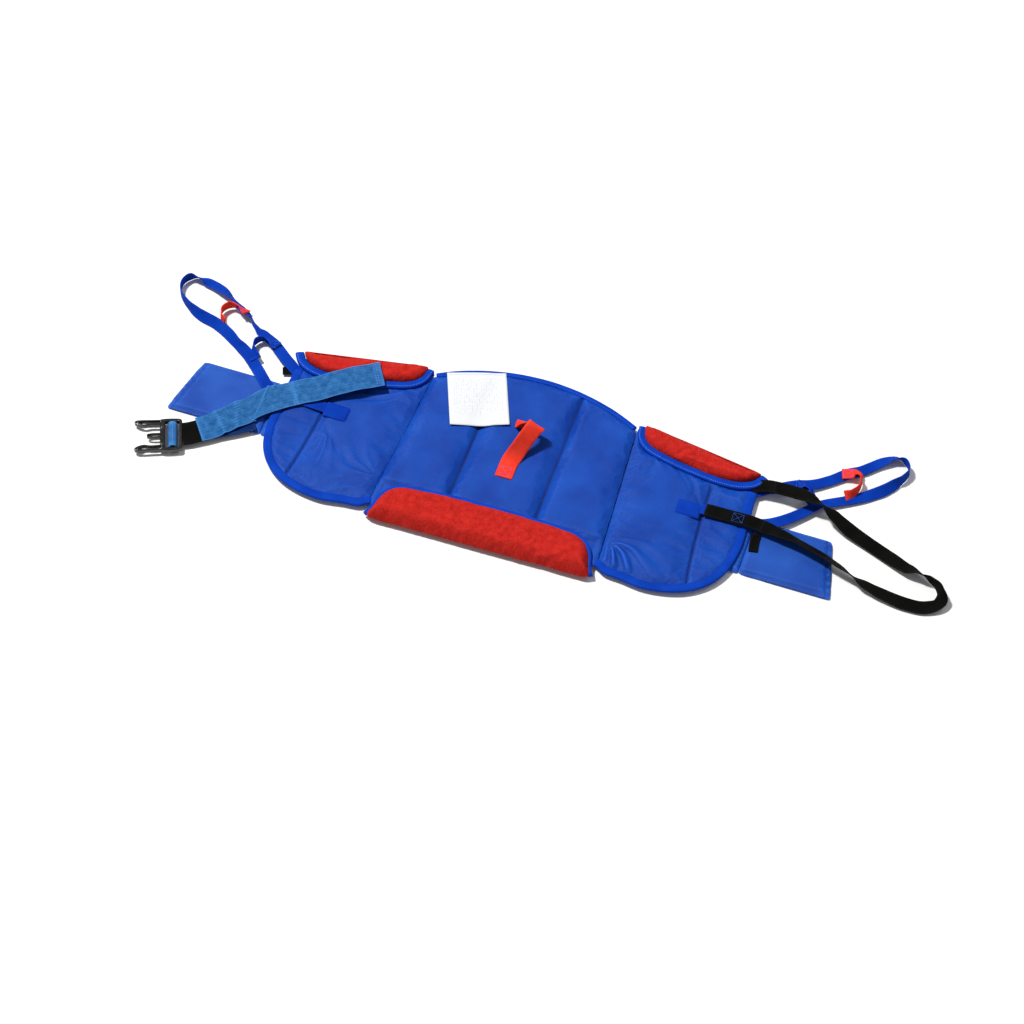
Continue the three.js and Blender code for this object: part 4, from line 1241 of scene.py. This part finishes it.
# ---- handle, label and patches -----------------------------------------------------------
def build_handle():
    """The red webbing handle: sewn flat at its near end, arched and leaning to its far end."""
    route = [(0, -45, 21.4), (0, -34, 21.7), (0, -22, 21.9), (0.5, -12, 22.8), (4, -3, 27), (10.5, 11, 37),
             (17.5, 26, 48), (23, 39, 55), (26, 47, 56.5), (27, 52, 54), (25.5, 55, 47), (19, 57, 39),
             (10, 59, 30), (3.5, 60, 24.6), (1, 61.5, 22.4), (0, 67, 21.8), (0, 75, 21.5)]
    line = resample(spline(route), 3)
    path = line * MM
    lean = np.radians(HANDLE_LEAN) * np.clip((line[:, 2] - 22) / 14, 0, 1)
    across = np.column_stack([-np.cos(lean), lean * 0, np.sin(lean)])
    along = heading(path)
    across = unit(across - along * (across * along).sum(1, keepdims=True))
    handle = web_piece("handle_web", (path, across, np.cross(along, across), noise_at(path, 30, 5) * 0.0008),
                       HANDLE_W, RED_WEB, "red_webbing", "back_panel_quilt", None,
                       ("handle_arch", "handle_foot_near", "handle_foot_far"))
    box_stitch("handle_near_stitches", (-1, -33), (0, 1), 9.5, 8.5, handle, LILAC_THREAD, "back_panel",
               "red_webbing", 0.0225)
    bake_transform(handle)


def build_label(panel):
    """The blank care label, sewn under the arched edge and lifting a little at its foot."""
    width, height, turn, top = 0.100, 0.112, math.radians(18), (ARC_R - 9) * MM
    across = np.linspace(-width / 2, width / 2, 27)
    down = np.linspace(0, height, 30)
    drop = drop_tool(panel)
    flat, surface = [], []
    for d in down:
        for a in across:
            x, y = a + d * 0.06, top - d
            flat.append((a, -d))
            px = x * math.cos(turn) - y * math.sin(turn)
            py = x * math.sin(turn) + y * math.cos(turn) + ARC_CENTRE * MM
            surface.append((px, py, drop(px, py, 0.012)))
    surface = np.array(surface)
    z = surface[:, 2].reshape(len(down), len(across))
    tight = z.copy()
    for _ in range(40):
        padded = np.pad(tight, 1, mode="edge")
        tight = np.maximum(z, (padded[:-2, 1:-1] + padded[2:, 1:-1] + padded[1:-1, :-2]
                               + padded[1:-1, 2:]) / 4)
    share = (down / height)[:, None]
    curl = (share ** 3) * (0.0016 + 0.0022 * np.abs(across / width * 2)[None, :] ** 2)
    surface[:, 2] = (tight + 0.0007 + curl).ravel()
    surface[:, 2] += noise_at(surface, 22, 8) * 0.0007 * np.repeat(down / height, len(across))
    rows, columns = len(down), len(across)
    faces = [(i * columns + k, (i + 1) * columns + k, (i + 1) * columns + k + 1, i * columns + k + 1)
             for i in range(rows - 1) for k in range(columns - 1)]
    under = surface - (0, 0, 0.0004)
    count = len(surface)
    back = [tuple(c + count for c in f[::-1]) for f in faces]
    wall = [(b, a, a + count, b + count) for a, b in rim_edges(faces)]
    label = mesh_object("label_sheet", np.vstack([surface, under]), faces + back + wall, LABEL,
                        np.array(flat + flat))
    facing_out(label)
    declare(label, "label_cloth", None, "care_label", "label_hem")
    grid = surface.reshape(rows, columns, 3)
    hem = [tuple(p + (0, 0, 0.0003)) for p in grid[1, 1:-1]]
    stitches("label_stitches", [hem], PALE_THREAD, "label_cloth", "back_panel", radius=0.25)
    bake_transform(label)


def build_patches():
    """The folded squares of webbing sewn over the inner ends of the side anchors."""
    for name, side in SIDES:
        low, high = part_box(name + "_patch")
        lean = 0.0025
        outline = [(low.x, low.y + lean * (side < 0)), (high.x, low.y), (high.x, high.y - lean * (side > 0)),
                   (low.x, high.y + lean * (side < 0))]
        flat, faces = net(np.array(outline), [], 3 * MM)[:2]
        gap = away(np.array(outline), flat, closed=True)
        height = 0.0155 + 0.0024 * crown(gap, 0.004, 3)
        height = height + noise_at(np.column_stack([flat, height]), 60, side) * 0.0004
        patch = smoothed(closed_body(name + "_patch_web", flat, faces, height, np.full(len(flat), 0.0138),
                                     BLUE_WEB))
        declare(patch, "blue_webbing", name + "_wing", name + "_patch")
        middle = ((low.x + high.x) / 2 / MM, (low.y + high.y) / 2 / MM)
        box_stitch(name + "_patch_stitches", middle, (1, 0), 18, 12.5, patch, DARK_THREAD, name + "_wing",
                   "blue_webbing", 0.018, cross=False)


# ---- run ---------------------------------------------------------------------------------
add_camera()
add_floor()
add_lights()
back_panel = build_panel()
wing_skins = [build_wing(*wing) for wing in SIDES]
build_edgings()
for wing, skin in zip(SIDES, wing_skins):
    fold_blend(skin, *wing)
    build_pad(*wing)
build_roll()
build_belt()
build_lifting_straps()
build_black_strap()
build_waist_strap()
build_buckle()
build_handle()
build_label(back_panel)
build_patches()
